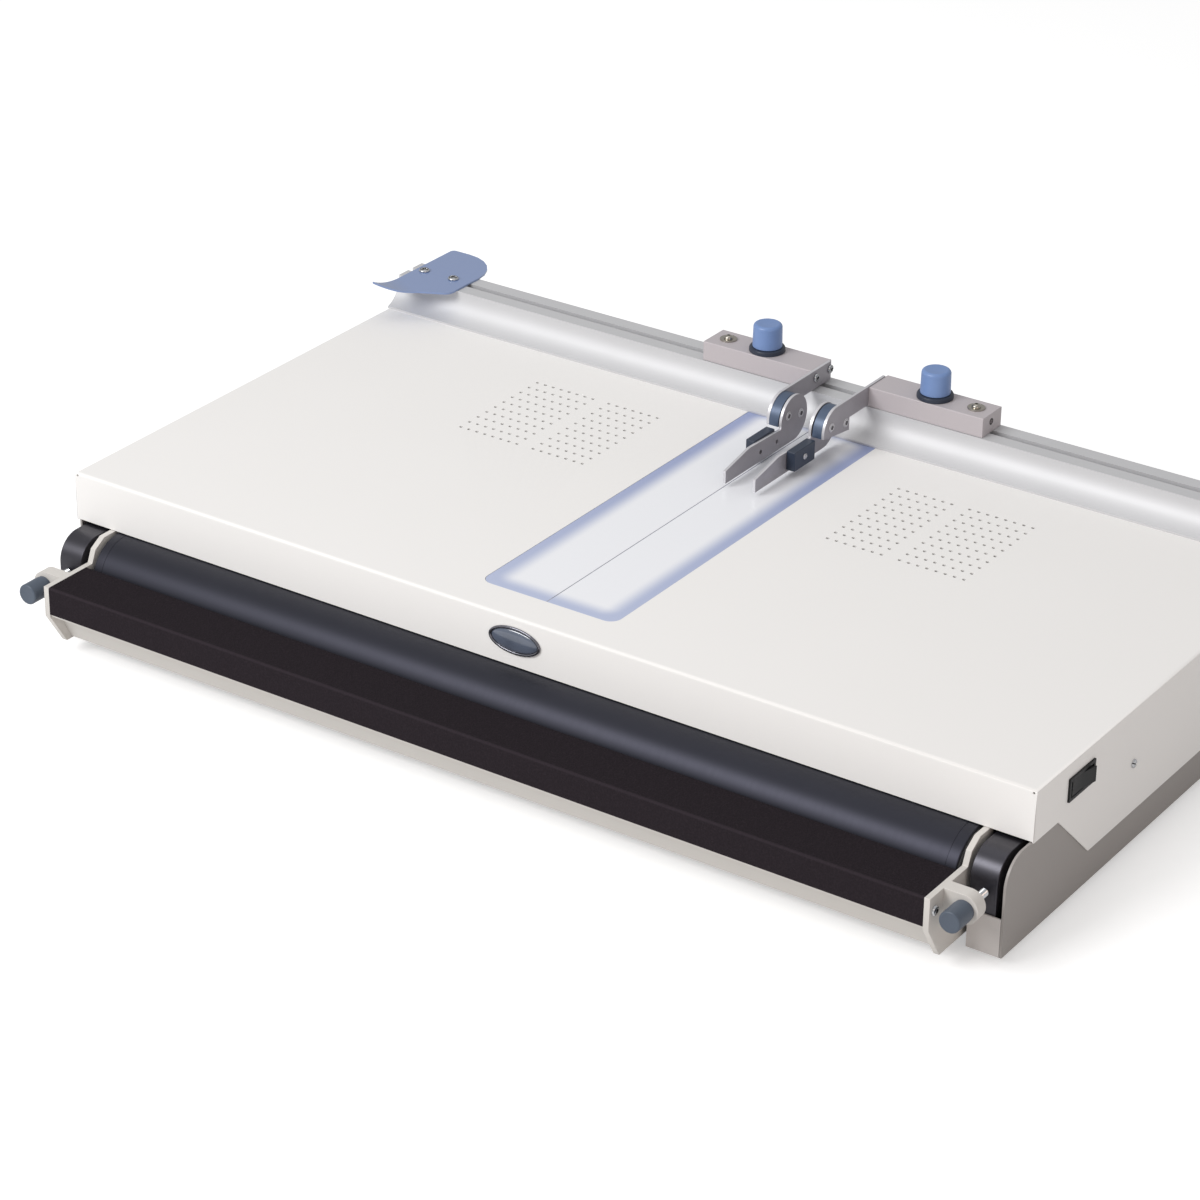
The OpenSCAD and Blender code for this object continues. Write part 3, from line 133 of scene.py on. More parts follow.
def linear(colour: str, share: float = 1.0) -> tuple[float, float, float, float]:
    """Turns an sRGB hex value into the linear colour that nodes take.

    Args:
        colour: six hex digits after a hash sign.
        share: brightness to multiply the colour by.

    Returns:
        Red, green, blue and an alpha of 1.
    """
    values = []
    for start in (1, 3, 5):
        value = int(colour[start:start + 2], 16) / 255
        value = value / 12.92 if value <= 0.04045 else ((value + 0.055) / 1.055) ** 2.4
        values.append(min(1.0, value * share))
    return values[0], values[1], values[2], 1.0


def feed(tree: Tree, node: bpy.types.Node, inputs: dict) -> None:
    """Sets the inputs of a node.

    Args:
        tree: the node tree that holds it.
        node: the node.
        inputs: socket name or number to a value, or to the socket that feeds it.
    """
    for name, value in inputs.items():
        if isinstance(value, Socket):
            tree.links.new(value, node.inputs[name])
        else:
            node.inputs[name].default_value = value


def add_node(
    tree: Tree, kind: str, inputs: dict | None = None, **settings: object
) -> bpy.types.Node:
    """Adds a shader node with its settings, values and links.

    Args:
        tree: the node tree that gets it.
        kind: the node's type name without its first word.
        inputs: socket name or number to a value, or to the socket that feeds it.
        settings: attributes of the node.

    Returns:
        The new node.
    """
    made = tree.nodes.new(f"ShaderNode{kind}")
    for name, value in settings.items():
        setattr(made, name, value)
    feed(tree, made, inputs or {})
    return made


def mix_colours(tree: Tree, share: Socket, first: object, second: object) -> Socket:
    """Fades one colour into another.

    Args:
        tree: the material's node tree.
        share: how much of the second colour shows.
        first: the first colour, or the socket that gives it.
        second: the second colour, or the socket that gives it.

    Returns:
        The socket that gives the colour.
    """
    inputs = {0: share, 6: first, 7: second}
    return add_node(tree, "Mix", inputs, data_type="RGBA").outputs[2]


def ramp(
    tree: Tree, value: Socket, start: float, end: float, top: float = 1.0,
    curve: str = "LINEAR",
) -> Socket:
    """Rises from 0 to a top between two distances, and is level beyond them.

    Args:
        tree: the material's node tree.
        value: the distance, in metres.
        start: where the rise starts, in millimetres.
        end: where it ends, in millimetres.
        top: the value there.
        curve: how the rise runs.

    Returns:
        The socket that gives the rise.
    """
    return add_node(tree, "MapRange", {
        "Value": value, "From Min": start * MM, "From Max": end * MM, "To Max": top,
    }, interpolation_type=curve).outputs["Result"]


def vector_step(tree: Tree, operation: str, *values: object) -> bpy.types.Node:
    """Adds one step of vector arithmetic.

    Args:
        tree: the material's node tree.
        operation: what the step does.
        values: the vectors that it takes, or the sockets that give them.

    Returns:
        The step's node.
    """
    return add_node(tree, "VectorMath", dict(enumerate(values)), operation=operation)


def even(size: float) -> Point:
    """Gives the same size along all three axes."""
    return size, size, size


@dataclass(frozen=True)
class Finish:
    """What a surface is made of and how light meets it.

    The base class suits anything that is plain apart from a fine grain: sizes are in
    millimetres, and grain has a size along each axis so that it can run one way.
    """

    name: str
    slot: str
    colour: str
    roughness: float
    metallic: float = 0.0
    ior: float = 1.5
    gloss: float = 0.5
    glint: str = "#FFFFFF"
    coat: float = 0.0
    coat_roughness: float = 0.08
    tone: float = 0.03
    tone_mm: float = 90.0
    spread: float = 0.04
    grain_mm: Point = even(1.6)
    grain_depth_mm: float = 0.01

    def material(self) -> bpy.types.Material:
        """Makes the material on first use.

        Returns:
            The finish's one material.
        """
        made = bpy.data.materials.get(self.name)
        if made is None:
            made = bpy.data.materials.new(self.name)
            made.use_nodes = True
            tree = made.node_tree
            place = add_node(tree, "TexCoord").outputs["Object"]
            grain = self.grain(tree, place)
            rough = add_node(tree, "MapRange", {
                "Value": grain,
                "To Min": self.roughness - self.spread,
                "To Max": self.roughness + self.spread,
            })
            bump = add_node(tree, "Bump", {
                "Strength": 1.0, "Distance": self.grain_depth_mm * MM, "Height": grain,
            })
            feed(tree, tree.nodes["Principled BSDF"], {
                "Base Color": self.tint(tree, place),
                "Metallic": self.metallic,
                "Roughness": rough.outputs["Result"],
                "IOR": self.ior,
                "Normal": bump.outputs["Normal"],
                "Specular IOR Level": self.gloss,
                "Specular Tint": linear(self.glint),
                "Coat Weight": self.coat,
                "Coat Roughness": self.coat_roughness,
            })
        return made

    def tint(self, tree: Tree, place: Socket) -> Socket:
        """Lays a faint unevenness over the colour.

        Args:
            tree: the material's node tree.
            place: the point on the object.

        Returns:
            The socket that gives the colour.
        """
        cloud = add_node(tree, "TexNoise", {
            "Vector": place, "Scale": 1 / (self.tone_mm * MM), "Detail": 3.0,
        })
        return mix_colours(tree, cloud.outputs[0], linear(self.colour, 1 - self.tone),
                           linear(self.colour, 1 + self.tone))

    def grain(self, tree: Tree, place: Socket) -> Socket:
        """Makes the fine relief that drives roughness and bump.

        Args:
            tree: the material's node tree.
            place: the point on the object.

        Returns:
            The socket that gives the relief from 0 to 1.
        """
        spread = add_node(tree, "Mapping", {
            "Vector": place, "Scale": tuple(1 / (size * MM) for size in self.grain_mm),
        })
        return add_node(tree, "TexNoise", {
            "Vector": spread.outputs[0], "Scale": 1.0, "Detail": 2.0,
        }).outputs[0]


@dataclass(frozen=True)
class OpenCell(Finish):
    """Polyurethane foam: dull, with painted shade in the pits of its cells, painted light on its
    front face and a painted highlight along its upper edge.
    """

    cell_mm: float = 1.8
    pit_shade_tone: float = 0.7
    wall_tone: float = 1.35
    front_mm: float = 3.0
    front_light_tone: float = 1.7
    front_light_share: float = 0.25
    edge_mm: float = 2.6
    edge_highlight_tone: float = 3.2
    edge_highlight_share: float = 0.25

    def tint(self, tree: Tree, place: Socket) -> Socket:
        """Paints shade into the pits of the cells, painted light onto the front and a painted
        highlight along its upper edge.
        """
        box = span("nip_foam")
        parts = add_node(tree, "SeparateXYZ", {0: place}).outputs
        # Painted shade in the pits of the cells, lighter on the walls between them
        cells = mix_colours(tree, self.grain(tree, place), linear(self.colour, self.pit_shade_tone),
                            linear(self.colour, self.wall_tone))
        # Painted light: the front face is paler, and a painted highlight runs along its upper
        # edge
        front = ramp(tree, parts["Y"], box.low.y + self.front_mm,
                     box.low.y + self.front_mm / 2, self.front_light_share)
        cut = mix_colours(tree, front, cells, linear(self.colour, self.front_light_tone))
        top = ramp(tree, parts["Z"], box.high.z - self.edge_mm,
                   box.high.z - self.edge_mm / 2, self.edge_highlight_share / self.front_light_share)
        edge = add_node(tree, "Math", {0: front, 1: top}, operation="MULTIPLY").outputs[0]
        return mix_colours(tree, edge, cut, linear(self.colour, self.edge_highlight_tone))

    def grain(self, tree: Tree, place: Socket) -> Socket:
        """Gives the relief of the open cells."""
        return add_node(tree, "TexVoronoi", {
            "Vector": place, "Scale": 1 / (self.cell_mm * MM),
        }).outputs["Distance"]


@dataclass(frozen=True)
class OpalPanel(Finish):
    """Opal acrylic over a light box: pale, with painted shade: blue where the box's walls shade
    its edge, darker towards the rear, with a painted shadow of the rail along the rear edge and
    painted shade along the groove in the middle.
    """

    band_colour: str = "#BAC3DE"
    deep_colour: str = "#939FC8"
    rail_shadow_colour: str = "#66779C"
    groove_shade_colour: str = "#A3A4B0"
    band_mm: float = 5.0
    blur_mm: float = 21.0
    corner_mm: float = 26.0
    rail_shadow_mm: float = 16.0
    line_mm: float = 1.0

    def tint(self, tree: Tree, place: Socket) -> Socket:
        """Lays the band of painted shade along the panel's edge, with the rail's painted shadow
        at the rear, and the groove's painted shade along its middle.
        """
        box = span("light_window")
        half, corner = box.half, self.corner_mm
        centred = vector_step(tree, "SUBTRACT", place, tuple(box.middle * MM)).outputs[0]
        folded = vector_step(tree, "ABSOLUTE", centred).outputs[0]
        # How far a point lies outside the box on whose corners the band's corners turn
        turning = ((half.x - corner) * MM, (half.y - corner) * MM, 1.0)
        beyond = vector_step(tree, "SUBTRACT", folded, turning).outputs[0]
        outside = vector_step(tree, "MAXIMUM", beyond, (0.0, 0.0, 0.0)).outputs[0]
        reach = vector_step(tree, "LENGTH", outside).outputs["Value"]
        edge = ramp(tree, reach, corner - self.band_mm - self.blur_mm, corner - self.band_mm,
                    curve="SMOOTHSTEP")
        # Painted shade: the band darkens from front to rear, and the rail's painted shadow lies
        # over its last millimetres at the rear
        depth = add_node(tree, "SeparateXYZ", {0: centred}).outputs["Y"]
        rear = ramp(tree, depth, half.y - self.rail_shadow_mm, half.y, curve="SMOOTHSTEP")
        along = ramp(tree, depth, -half.y, half.y)
        deep = mix_colours(tree, along, linear(self.band_colour), linear(self.deep_colour))
        shade = mix_colours(tree, rear, deep, linear(self.rail_shadow_colour))
        band = mix_colours(tree, edge, linear(self.colour), shade)
        # Painted shade along the groove in the middle of the panel
        across = add_node(tree, "SeparateXYZ", {0: folded}).outputs["X"]
        near = add_node(tree, "Math", {0: across, 1: self.line_mm / 2 * MM},
                        operation="LESS_THAN").outputs[0]
        return mix_colours(tree, near, band, linear(self.groove_shade_colour))


class Finishes:
    """Every finish of the machine, named for what the real surface is."""

    # Powder enamel, baked: even, with a faint orange peel that softens its reflections
    cover = Finish("warm white powder enamel", "cover_white", "#F2F0EE", 0.7, gloss=0.08,
                   grain_mm=even(2.2), grain_depth_mm=0.012, tone=0.01, tone_mm=160)
    # Painted shade: the lip's paint, made darker for the shade on the side plates and rear panel
    base = Finish("grey powder enamel", "base_grey", "#9D9895", 0.42, grain_mm=even(2.0),
                  grain_depth_mm=0.012, tone=0.015, tone_mm=140)
    lip = Finish("light grey powder enamel", "lip_grey", "#CBC6C3", 0.45, grain_mm=even(2.0),
                 grain_depth_mm=0.012, tone=0.015, tone_mm=140)
    nip = Finish("light grey baked enamel", "nip_grey", "#D4D0CB", 0.4, tone=0.02, tone_mm=60)
    block = Finish("warm grey enamel on aluminium", "block_grey", "#BDB6B9", 0.42,
                   grain_mm=even(1.4), grain_depth_mm=0.012, tone=0.02, tone_mm=40)
    wing = Finish("blue semi-gloss enamel", "wing_blue", "#7F93BE", 0.22, gloss=0.6, coat=0.6,
                  grain_mm=even(3.0), grain_depth_mm=0.004, tone=0.02, tone_mm=40)
    # Moulded ABS: the mould's polish gives a gloss with a little ripple
    # Its glint tints reflections faintly blue: a painted tint of the light
    housing = Finish("black moulded ABS", "housing_black", "#18171B", 0.37, gloss=1.0,
                     glint="#E4E2F0", grain_depth_mm=0.006, tone=0.1, tone_mm=30)
    # Nylon from a spark-eroded mould: fine grain, hardly any gloss
    switch = Finish("black moulded nylon", "switch_black", "#17181A", 0.42, gloss=0.3,
                    grain_mm=even(0.8), grain_depth_mm=0.02, tone=0.08, tone_mm=8)
    foot = Finish("black moulded rubber", "foot_black", "#232426", 0.75, gloss=0.2,
                  grain_mm=even(1.2), grain_depth_mm=0.03)
    # Rubber ground on a lathe: dull sheen, with the wheel's marks round the roller
    # Its glint tints reflections faintly blue: a painted tint of the light
    roller = Finish("ground nitrile rubber", "roller_rubber", "#202126", 0.42, glint="#CFCFE8",
                    grain_mm=(1.2, 24.0, 24.0), tone=0.06, tone_mm=50)
    foam = OpenCell("open cell polyurethane foam", "foam", "#252024", 0.95, gloss=0.08,
                    grain_depth_mm=0.5)
    belt = Finish("black neoprene", "belt_black", "#242528", 0.7, gloss=0.2,
                  grain_mm=even(1.0), grain_depth_mm=0.03)
    # Bright zinc: a mirror dulled by its crystals, slightly blue
    zinc = Finish("bright zinc plate on steel", "zinc", "#D2D4D7", 0.22, metallic=1.0,
                  spread=0.08, grain_mm=even(1.5), grain_depth_mm=0.006, tone=0.08, tone_mm=6)
    # Nickel over a ground head: darker and warmer than zinc
    nickel = Finish("nickel plate on steel", "zinc", "#B4AFA6", 0.24, metallic=1.0,
                    grain_mm=even(2.0), grain_depth_mm=0.004, tone=0.05, tone_mm=6)
    steel = Finish("cold rolled steel", "steel", "#8E8E90", 0.38, metallic=1.0,
                   grain_mm=(0.8, 14.0, 0.8), tone=0.08, tone_mm=40)
    # Belt-brushed plate: scratches run along the arm, so the gloss smears across it
    arm = Finish("brushed steel plate", "arm_steel", "#A3A0A6", 0.44, metallic=0.4,
                 grain_mm=(0.7, 16.0, 0.7), grain_depth_mm=0.012, tone=0.08, tone_mm=12)
    # Painted highlight: the faces' steel, lighter on the edges that face the light
    arm_lit_edge = Finish("bright cut steel edge", "arm_steel", "#D3D2D6", 0.36, metallic=0.4,
                      grain_mm=(0.6, 1.2, 0.6), tone=0.06, tone_mm=8)
    # Ground flat with the plate, so only the socket and a fine ring tell the screw
    flush = Finish("ground steel screw", "zinc", "#DCDBDF", 0.34, metallic=0.4,
                   grain_mm=even(0.8), grain_depth_mm=0.006, tone=0.06, tone_mm=4)
    # Painted shade: the socket's floor is darker for the shade in it
    flush_floor = Finish("ground steel screw's socket", "zinc", "#6E6D71", 0.5, metallic=0.3,
                         grain_mm=even(0.8), grain_depth_mm=0.006)
    # Painted shade: a recess is coloured dark for the shade inside it
    socket = Finish("bare dark recess", "zinc", "#3A3A3C", 0.6, metallic=0.3,
                    grain_mm=even(0.8), grain_depth_mm=0.006)
    # Extruded and anodised: the die leaves faint lines along the rail
    rail = Finish("satin anodised aluminium", "aluminium", "#D0D0D2", 0.55, metallic=0.3,
                  grain_mm=(220.0, 1.1, 1.1), tone_mm=60)
    turned = Finish("turned aluminium", "aluminium", "#C6C7CB", 0.28, metallic=1.0,
                    grain_mm=(0.9, 20.0, 20.0))
    clamp = Finish("cornflower moulded grip", "clamp_blue", "#748FC0", 0.36,
                   grain_mm=even(1.0), grain_depth_mm=0.015, tone_mm=12)
    gap = Finish("blue grey moulded grip", "gap_blue", "#4F5967", 0.4,
                 grain_mm=even(1.0), grain_depth_mm=0.015, tone=0.04, tone_mm=10)
    collar = Finish("dark slate moulded collar", "switch_black", "#333947", 0.4, gloss=0.3,
                    grain_mm=even(1.0), grain_depth_mm=0.015)
    hub = Finish("slate blue anodised aluminium", "hub_blue", "#536178", 0.4, metallic=0.3,
                 grain_mm=(0.9, 12.0, 12.0), tone=0.06, tone_mm=10)
    finger_block = Finish("slate moulded acetal", "slate", "#2F3848", 0.36, gloss=0.4,
                          grain_mm=even(1.2), grain_depth_mm=0.015, tone=0.05, tone_mm=10)
    window = OpalPanel("opal acrylic panel", "window_milk", "#F4F5F9", 0.3,
                       grain_mm=even(3.0), grain_depth_mm=0.003)
    lamp = Finish("coated glass tube", "lamp_white", "#F2F3F5", 0.25)
    badge_rim = Finish("dark chromed badge rim", "badge_dark", "#7A7A82", 0.2, metallic=0.9,
                       grain_mm=even(2.0), grain_depth_mm=0.004)
    badge = Finish("smoked domed resin", "badge_dark", "#5A6272", 0.14, gloss=1.0, tone=0.25,
                   tone_mm=14, grain_mm=even(6.0), grain_depth_mm=0.02)


@dataclass(frozen=True)
class Box:
    """The box of a CAD node at rest, in millimetres of the row frame."""

    low: Vector
    high: Vector

    @property
    def middle(self) -> Vector:
        """The box's middle."""
        return (self.low + self.high) / 2

    @property
    def half(self) -> Vector:
        """Half the box's size."""
        return (self.high - self.low) / 2


def span(node: str) -> Box:
    """Gives a CAD node's box at rest.

    Args:
        node: the node's name.

    Returns:
        The box.
    """
    low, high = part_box(node)
    return Box(Vector(low) / MM, Vector(high) / MM)


def quarter(steps: int) -> Profile:
    """Goes round a quarter of a circle of radius 1.

    Args:
        steps: how many even steps it takes.

    Returns:
        The sine and the cosine after each step.
    """
    turns = [math.pi / 2 * step / steps for step in range(1, steps + 1)]
    return [(math.sin(turn), math.cos(turn)) for turn in turns]


def ring(bore: float, radius: float, height: float, foot: float, edge: Profile) -> Profile:
    """Gives the profile of a ring with eased outer edges.

    Args:
        bore: radius of its hole.
        radius: its outer radius.
        height: its height.
        foot: width of the chamfer along its foot, or 0 for none.
        edge: how far in and how far down each point of its upper edge lies.

    Returns:
        The closed profile.
    """
    outside = [(radius - foot, 0.0), (radius, foot)] if foot else [(radius, 0.0)]
    outside += [(radius - inward, height - down) for inward, down in edge]
    return [(bore, 0.0), *outside, (bore, height), (bore, 0.0)]


def new_object(name: str, data: bpy.types.ID) -> bpy.types.Object:
    """Puts a new object into the scene.

    Args:
        name: the object's name.
        data: its mesh, light or camera.

    Returns:
        The new object.
    """
    made = bpy.data.objects.new(name, data)
    bpy.context.scene.collection.objects.link(made)
    return made


def dress(finish: Finish, *nodes: str) -> None:
    """Gives CAD nodes whose shape is right their material.

    Args:
        finish: the finish to use.
        nodes: the nodes' names.
    """
    for name in nodes:
        mesh = frame["nodes"][name].data
        mesh.materials.clear()
        mesh.materials.append(finish.material())
        log.info("dressed %s in %s", name, finish.name)


class Shape:
    """A mesh that bmesh operators shape, in millimetres of the row frame."""

    def __init__(self) -> None:
        """Starts with an empty mesh."""
        self.bm = bmesh.new()

    @classmethod
    def of_node(cls, node: str, clean: bool = True) -> Shape:
        """Copies a CAD node and joins its loose triangles.

        Args:
            node: the node's name.
            clean: whether flat runs of triangles become single faces.

        Returns:
            The copy.
        """
        shape = cls()
        shape.bm.from_mesh(frame["nodes"][node].data)
        shape.transform(Matrix.Scale(1 / MM, 4))
        bmesh.ops.remove_doubles(shape.bm, verts=shape.bm.verts[:], dist=NODE_MERGE)
        if clean:
            bmesh.ops.dissolve_limit(shape.bm, angle_limit=math.radians(FLAT),
                                     verts=shape.bm.verts[:], edges=shape.bm.edges[:])
        return shape

    @classmethod
    def lathe(cls, profile: Profile, steps: int = 64) -> Shape:
        """Spins a profile round the Z axis.

        Args:
            profile: radius and height of each point, along a line that ends on the axis or
                where it starts.
            steps: segments round the axis.

        Returns:
            The closed shape.
        """
        shape = cls()
        verts = [shape.bm.verts.new((radius, 0, height)) for radius, height in profile]
        edges = [shape.bm.edges.new(ends) for ends in zip(verts, verts[1:])]
        bmesh.ops.spin(shape.bm, geom=verts + edges, cent=(0, 0, 0), axis=(0, 0, 1),
                       dvec=(0, 0, 0), angle=math.tau, steps=steps, use_merge=True)
        return shape.tidy()

    @classmethod
    def slab(cls, low: Point, high: Point) -> Shape:
        """Makes a block between two corners.

        Args:
            low: the lowest corner.
            high: the highest corner.

        Returns:
            The block.
        """
        shape = cls()
        bmesh.ops.create_cube(shape.bm, size=1.0)
        size = Vector(high) - Vector(low)
        return shape.transform(
            Matrix.Translation((Vector(low) + Vector(high)) / 2) @ Matrix.Diagonal((*size, 1.0)))

    def tidy(self) -> Shape:
        """Merges doubled points and turns the faces outwards."""
        bmesh.ops.remove_doubles(self.bm, verts=self.bm.verts[:], dist=MERGE)
        bmesh.ops.recalc_face_normals(self.bm, faces=self.bm.faces[:])
        return self

    def transform(self, matrix: Matrix) -> Shape:
        """Moves, turns or scales the whole shape by one matrix."""
        bmesh.ops.transform(self.bm, matrix=matrix, verts=self.bm.verts[:])
        return self

    def point(self, axis: Point, place: Point) -> Shape:
        """Turns the shape's Z axis to a direction and moves its origin to a place.

        Args:
            axis: where Z points afterwards.
            place: where the origin goes.

        Returns:
            The shape itself.
        """
        turn = Vector((0, 0, 1)).rotation_difference(Vector(axis)).to_matrix().to_4x4()
        return self.transform(Matrix.Translation(place) @ turn)

    def mesh(self, name: str) -> bpy.types.Mesh:
        """Writes the shape out as a mesh and frees it.

        Args:
            name: the mesh's name.

        Returns:
            The mesh.
        """
        made = bpy.data.meshes.new(name)
        self.bm.to_mesh(made)
        self.bm.free()
        return made

    def add(self, other: Shape) -> Shape:
        """Joins another shape's mesh to this one and frees the other."""
        mesh = other.mesh("joined")
        self.bm.from_mesh(mesh)
        bpy.data.meshes.remove(mesh)
        return self

    def soften(self, width: float, segments: int, angle: float) -> Shape:
        """Rounds every edge that turns more than an angle.

        Args:
            width: how far the rounding reaches from the edge.
            segments: faces across it.
            angle: the least turn in degrees.

        Returns:
            The shape itself.
        """
        edges = [edge for edge in self.bm.edges
                 if len(edge.link_faces) == 2
                 and edge.calc_face_angle(0.0) > math.radians(angle)]
        bmesh.ops.bevel(self.bm, geom=edges, offset=width, offset_type="OFFSET",
                        segments=segments, profile=0.5, affect="EDGES", clamp_overlap=True,
                        material=-1)
        return self

    def without(self, gone: Callable[[Vector], bool]) -> Shape:
        """Deletes the points that pass a test and closes the holes that this leaves.

        Args:
            gone: tells of a point whether it goes.

        Returns:
            The shape itself.
        """
        bmesh.ops.delete(self.bm, geom=[vert for vert in self.bm.verts if gone(vert.co)],
                         context="VERTS")
        bmesh.ops.holes_fill(self.bm, edges=self.bm.edges[:], sides=0)
        return self

    def divide(self, place: Point, normal: Point) -> None:
        """Divides the faces that a plane crosses.

        Args:
            place: a point on the plane.
            normal: the direction that it faces.
        """
        bmesh.ops.bisect_plane(self.bm, plane_co=place, plane_no=normal,
                               geom=self.bm.verts[:] + self.bm.edges[:] + self.bm.faces[:])

    def cut(self, tool: Shape) -> Shape:
        """Takes another shape out of this one and frees the other."""
        holders = [new_object("cutting", part.mesh("cutting")) for part in (self, tool)]
        modifier = holders[0].modifiers.new("cut", "BOOLEAN")
        modifier.object = holders[1]
        modifier.operation = "DIFFERENCE"
        modifier.solver = "EXACT"
        done = holders[0].evaluated_get(bpy.context.evaluated_depsgraph_get()).to_mesh()
        self.bm = bmesh.new()
        self.bm.from_mesh(done)
        for holder in holders:
            mesh = holder.data
            bpy.data.objects.remove(holder)
            bpy.data.meshes.remove(mesh)
        return self

    def piece(
        self, name: str, finish: Finish, body: str, *nodes: str,
        edge: float = 0.0, segments: int = 2, smooth: float = 35.0,
        rim: Finish | None = None, bright_over: float = 3.0, inside: Finish | None = None,
        twist: tuple[str, float, float] | None = None,
    ) -> bpy.types.Object:
        """Writes the shape out as a piece of the machine.

        Args:
            name: the piece's name.
            finish: what it is made of.
            body: the body that it rides on.
            nodes: the CAD nodes that it stands for.
            edge: width of the rounding along its sharp edges, or 0 for none.
            segments: faces across that rounding.
            smooth: edges that turn more than this many degrees stay crisp.
            rim: finish of the faces that don't look along X, where these differ.
            bright_over: the least area that such a face has, which leaves out small holes.
            inside: finish of the faces that a screw's shape marks as its recess.
            twist: a second body and two X values for the piece's far end; the values are not
                used, and when it is given the piece keeps its place and rides on no body.

        Returns:
            The new object.
        """
        mesh = self.transform(Matrix.Scale(MM, 4)).mesh(name)
        mesh.materials.append(finish.material())
        if inside is not None:
            mesh.materials.append(inside.material())
        if rim is not None:
            mesh.materials.append(rim.material())
            for face in mesh.polygons:
                flat = abs(face.normal.x) > FACING
                hole = face.area < bright_over * MM * MM
                face.material_index = int(not flat and not hole)
        made = new_object(name, mesh)
        mesh.shade_smooth()
        if edge:
            bevel = made.modifiers.new("soft edge", "BEVEL")
            bevel.width = edge * MM
            bevel.segments = segments
            bevel.limit_method = "ANGLE"
            bevel.angle_limit = math.radians(smooth)
        else:
            mesh.set_sharp_from_angle(angle=math.radians(smooth))
        weigh = made.modifiers.new("flat faces stay flat", "WEIGHTED_NORMAL")
        weigh.keep_sharp = True
        if twist is None:
            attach(made, body)
        else:
            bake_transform(made)
        if nodes:
            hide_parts(*nodes)
        log.info("made %s with %d faces on %s", name, len(mesh.polygons), body)
        return made

    def screws(self, name: str, body: str, *nodes: str, finish: Finish = Finishes.zinc,
               inside: Finish = Finishes.socket) -> None:
        """Writes the shape out as a piece of screws whose recesses are darker.

        Args:
            name: the piece's name.
            body: the body that it rides on.
            nodes: the CAD nodes that it stands for.
            finish: what the screws are made of.
            inside: finish of their recesses.
        """
        self.piece(name, finish, body, *nodes, smooth=30, inside=inside)


def soft_copy(node: str, name: str, finish: Finish, body: str = Body.ROOT,
              **looks: object) -> None:
    """Makes a piece whose CAD shape only needs soft edges.

    Args:
        node: the CAD node that it copies and stands for.
        name: the piece's name.
        finish: what it is made of.
        body: the body that it rides on.
        looks: its edges and its rim, as Shape.piece takes them.
    """
    Shape.of_node(node).piece(name, finish, body, node, **looks)


@dataclass(frozen=True)
class ScrewHead:
    """A domed screw head with a driver recess, sizes in millimetres."""

    radius: float
    height: float
    recess: Recess
    shank: float = 2.0
    length: float = 2.0
    rim: float = 0.35
    crown: float = 0.5
    reach: float = 0.5
    floor: float = 0.35
    arm: float = 0.26
    past: float = 1.2
    above: float = 2.0
    within: float = 0.97
    dome_steps: int = 5
    steps: int = 32

    def shape(self) -> Shape:
        """Makes the head with its face up and its seat at the origin.

        Returns:
            The head and a short shank under it.
        """
        edge = self.height * self.rim
        profile = [(0, -self.length), (self.shank, -self.length), (self.shank, 0),
                   (self.radius, 0)]
        for sine, cosine in [(0.0, 1.0), *quarter(self.dome_steps)]:
            profile.append((self.radius * (self.crown + (1 - self.crown) * cosine),
                            edge + (self.height - edge) * sine))
        profile.append((0, self.height))
        head = Shape.lathe(profile, self.steps).cut(self.driver())
        floor = self.height * self.floor
        # The recess's faces take the second material, which paints the shade inside it
        for face in head.bm.faces:
            centre = face.calc_center_median()
            sunk = floor - TOUCH < centre.z < self.height * self.within
            inner = centre.xy.length < self.radius * self.within
            inward = face.normal.xy.dot(centre.xy) < -TOUCH
            wall, level = abs(face.normal.z) < ACROSS, face.normal.z > FACING
            face.material_index = int(sunk and inner and (inward or wall or level))
        return head

    def at(self, axis: Point, place: Point, turn: float = 0.0) -> Shape:
        """Makes the head in its place.

        Args:
            axis: the direction that it faces.
            place: the middle of its seat.
            turn: how far its recess is turned, in degrees.

        Returns:
            The head and a short shank under it.
        """
        turned = self.shape().transform(Matrix.Rotation(math.radians(turn), 4, "Z"))
        return turned.point(axis, place)

    def driver(self) -> Shape:
        """Makes the tool that leaves the recess."""
        reach = self.radius * self.reach
        half = reach * self.arm
        low, high = self.height * self.floor, self.height * self.above
        if self.recess is Recess.HEX:
            tool = Shape()
            bmesh.ops.create_cone(tool.bm, cap_ends=True, segments=6, radius1=reach,
                                  radius2=reach, depth=high - low)
            return tool.transform(Matrix.Translation((0, 0, (low + high) / 2)))
        if self.recess is Recess.SLOT:
            past = self.radius * self.past
            return Shape.slab((-past, -half, low), (past, half, high))
        tool = Shape.slab((-half, -half, low), (half, half, high))
        sides = [face for face in tool.bm.faces if abs(face.normal.z) < FACING]
        for side in sides:
            outward = side.normal * (reach - half)
            grown = bmesh.ops.extrude_discrete_faces(tool.bm, faces=[side])["faces"]
            bmesh.ops.translate(tool.bm, vec=outward, verts=grown[0].verts)
        return tool.tidy()


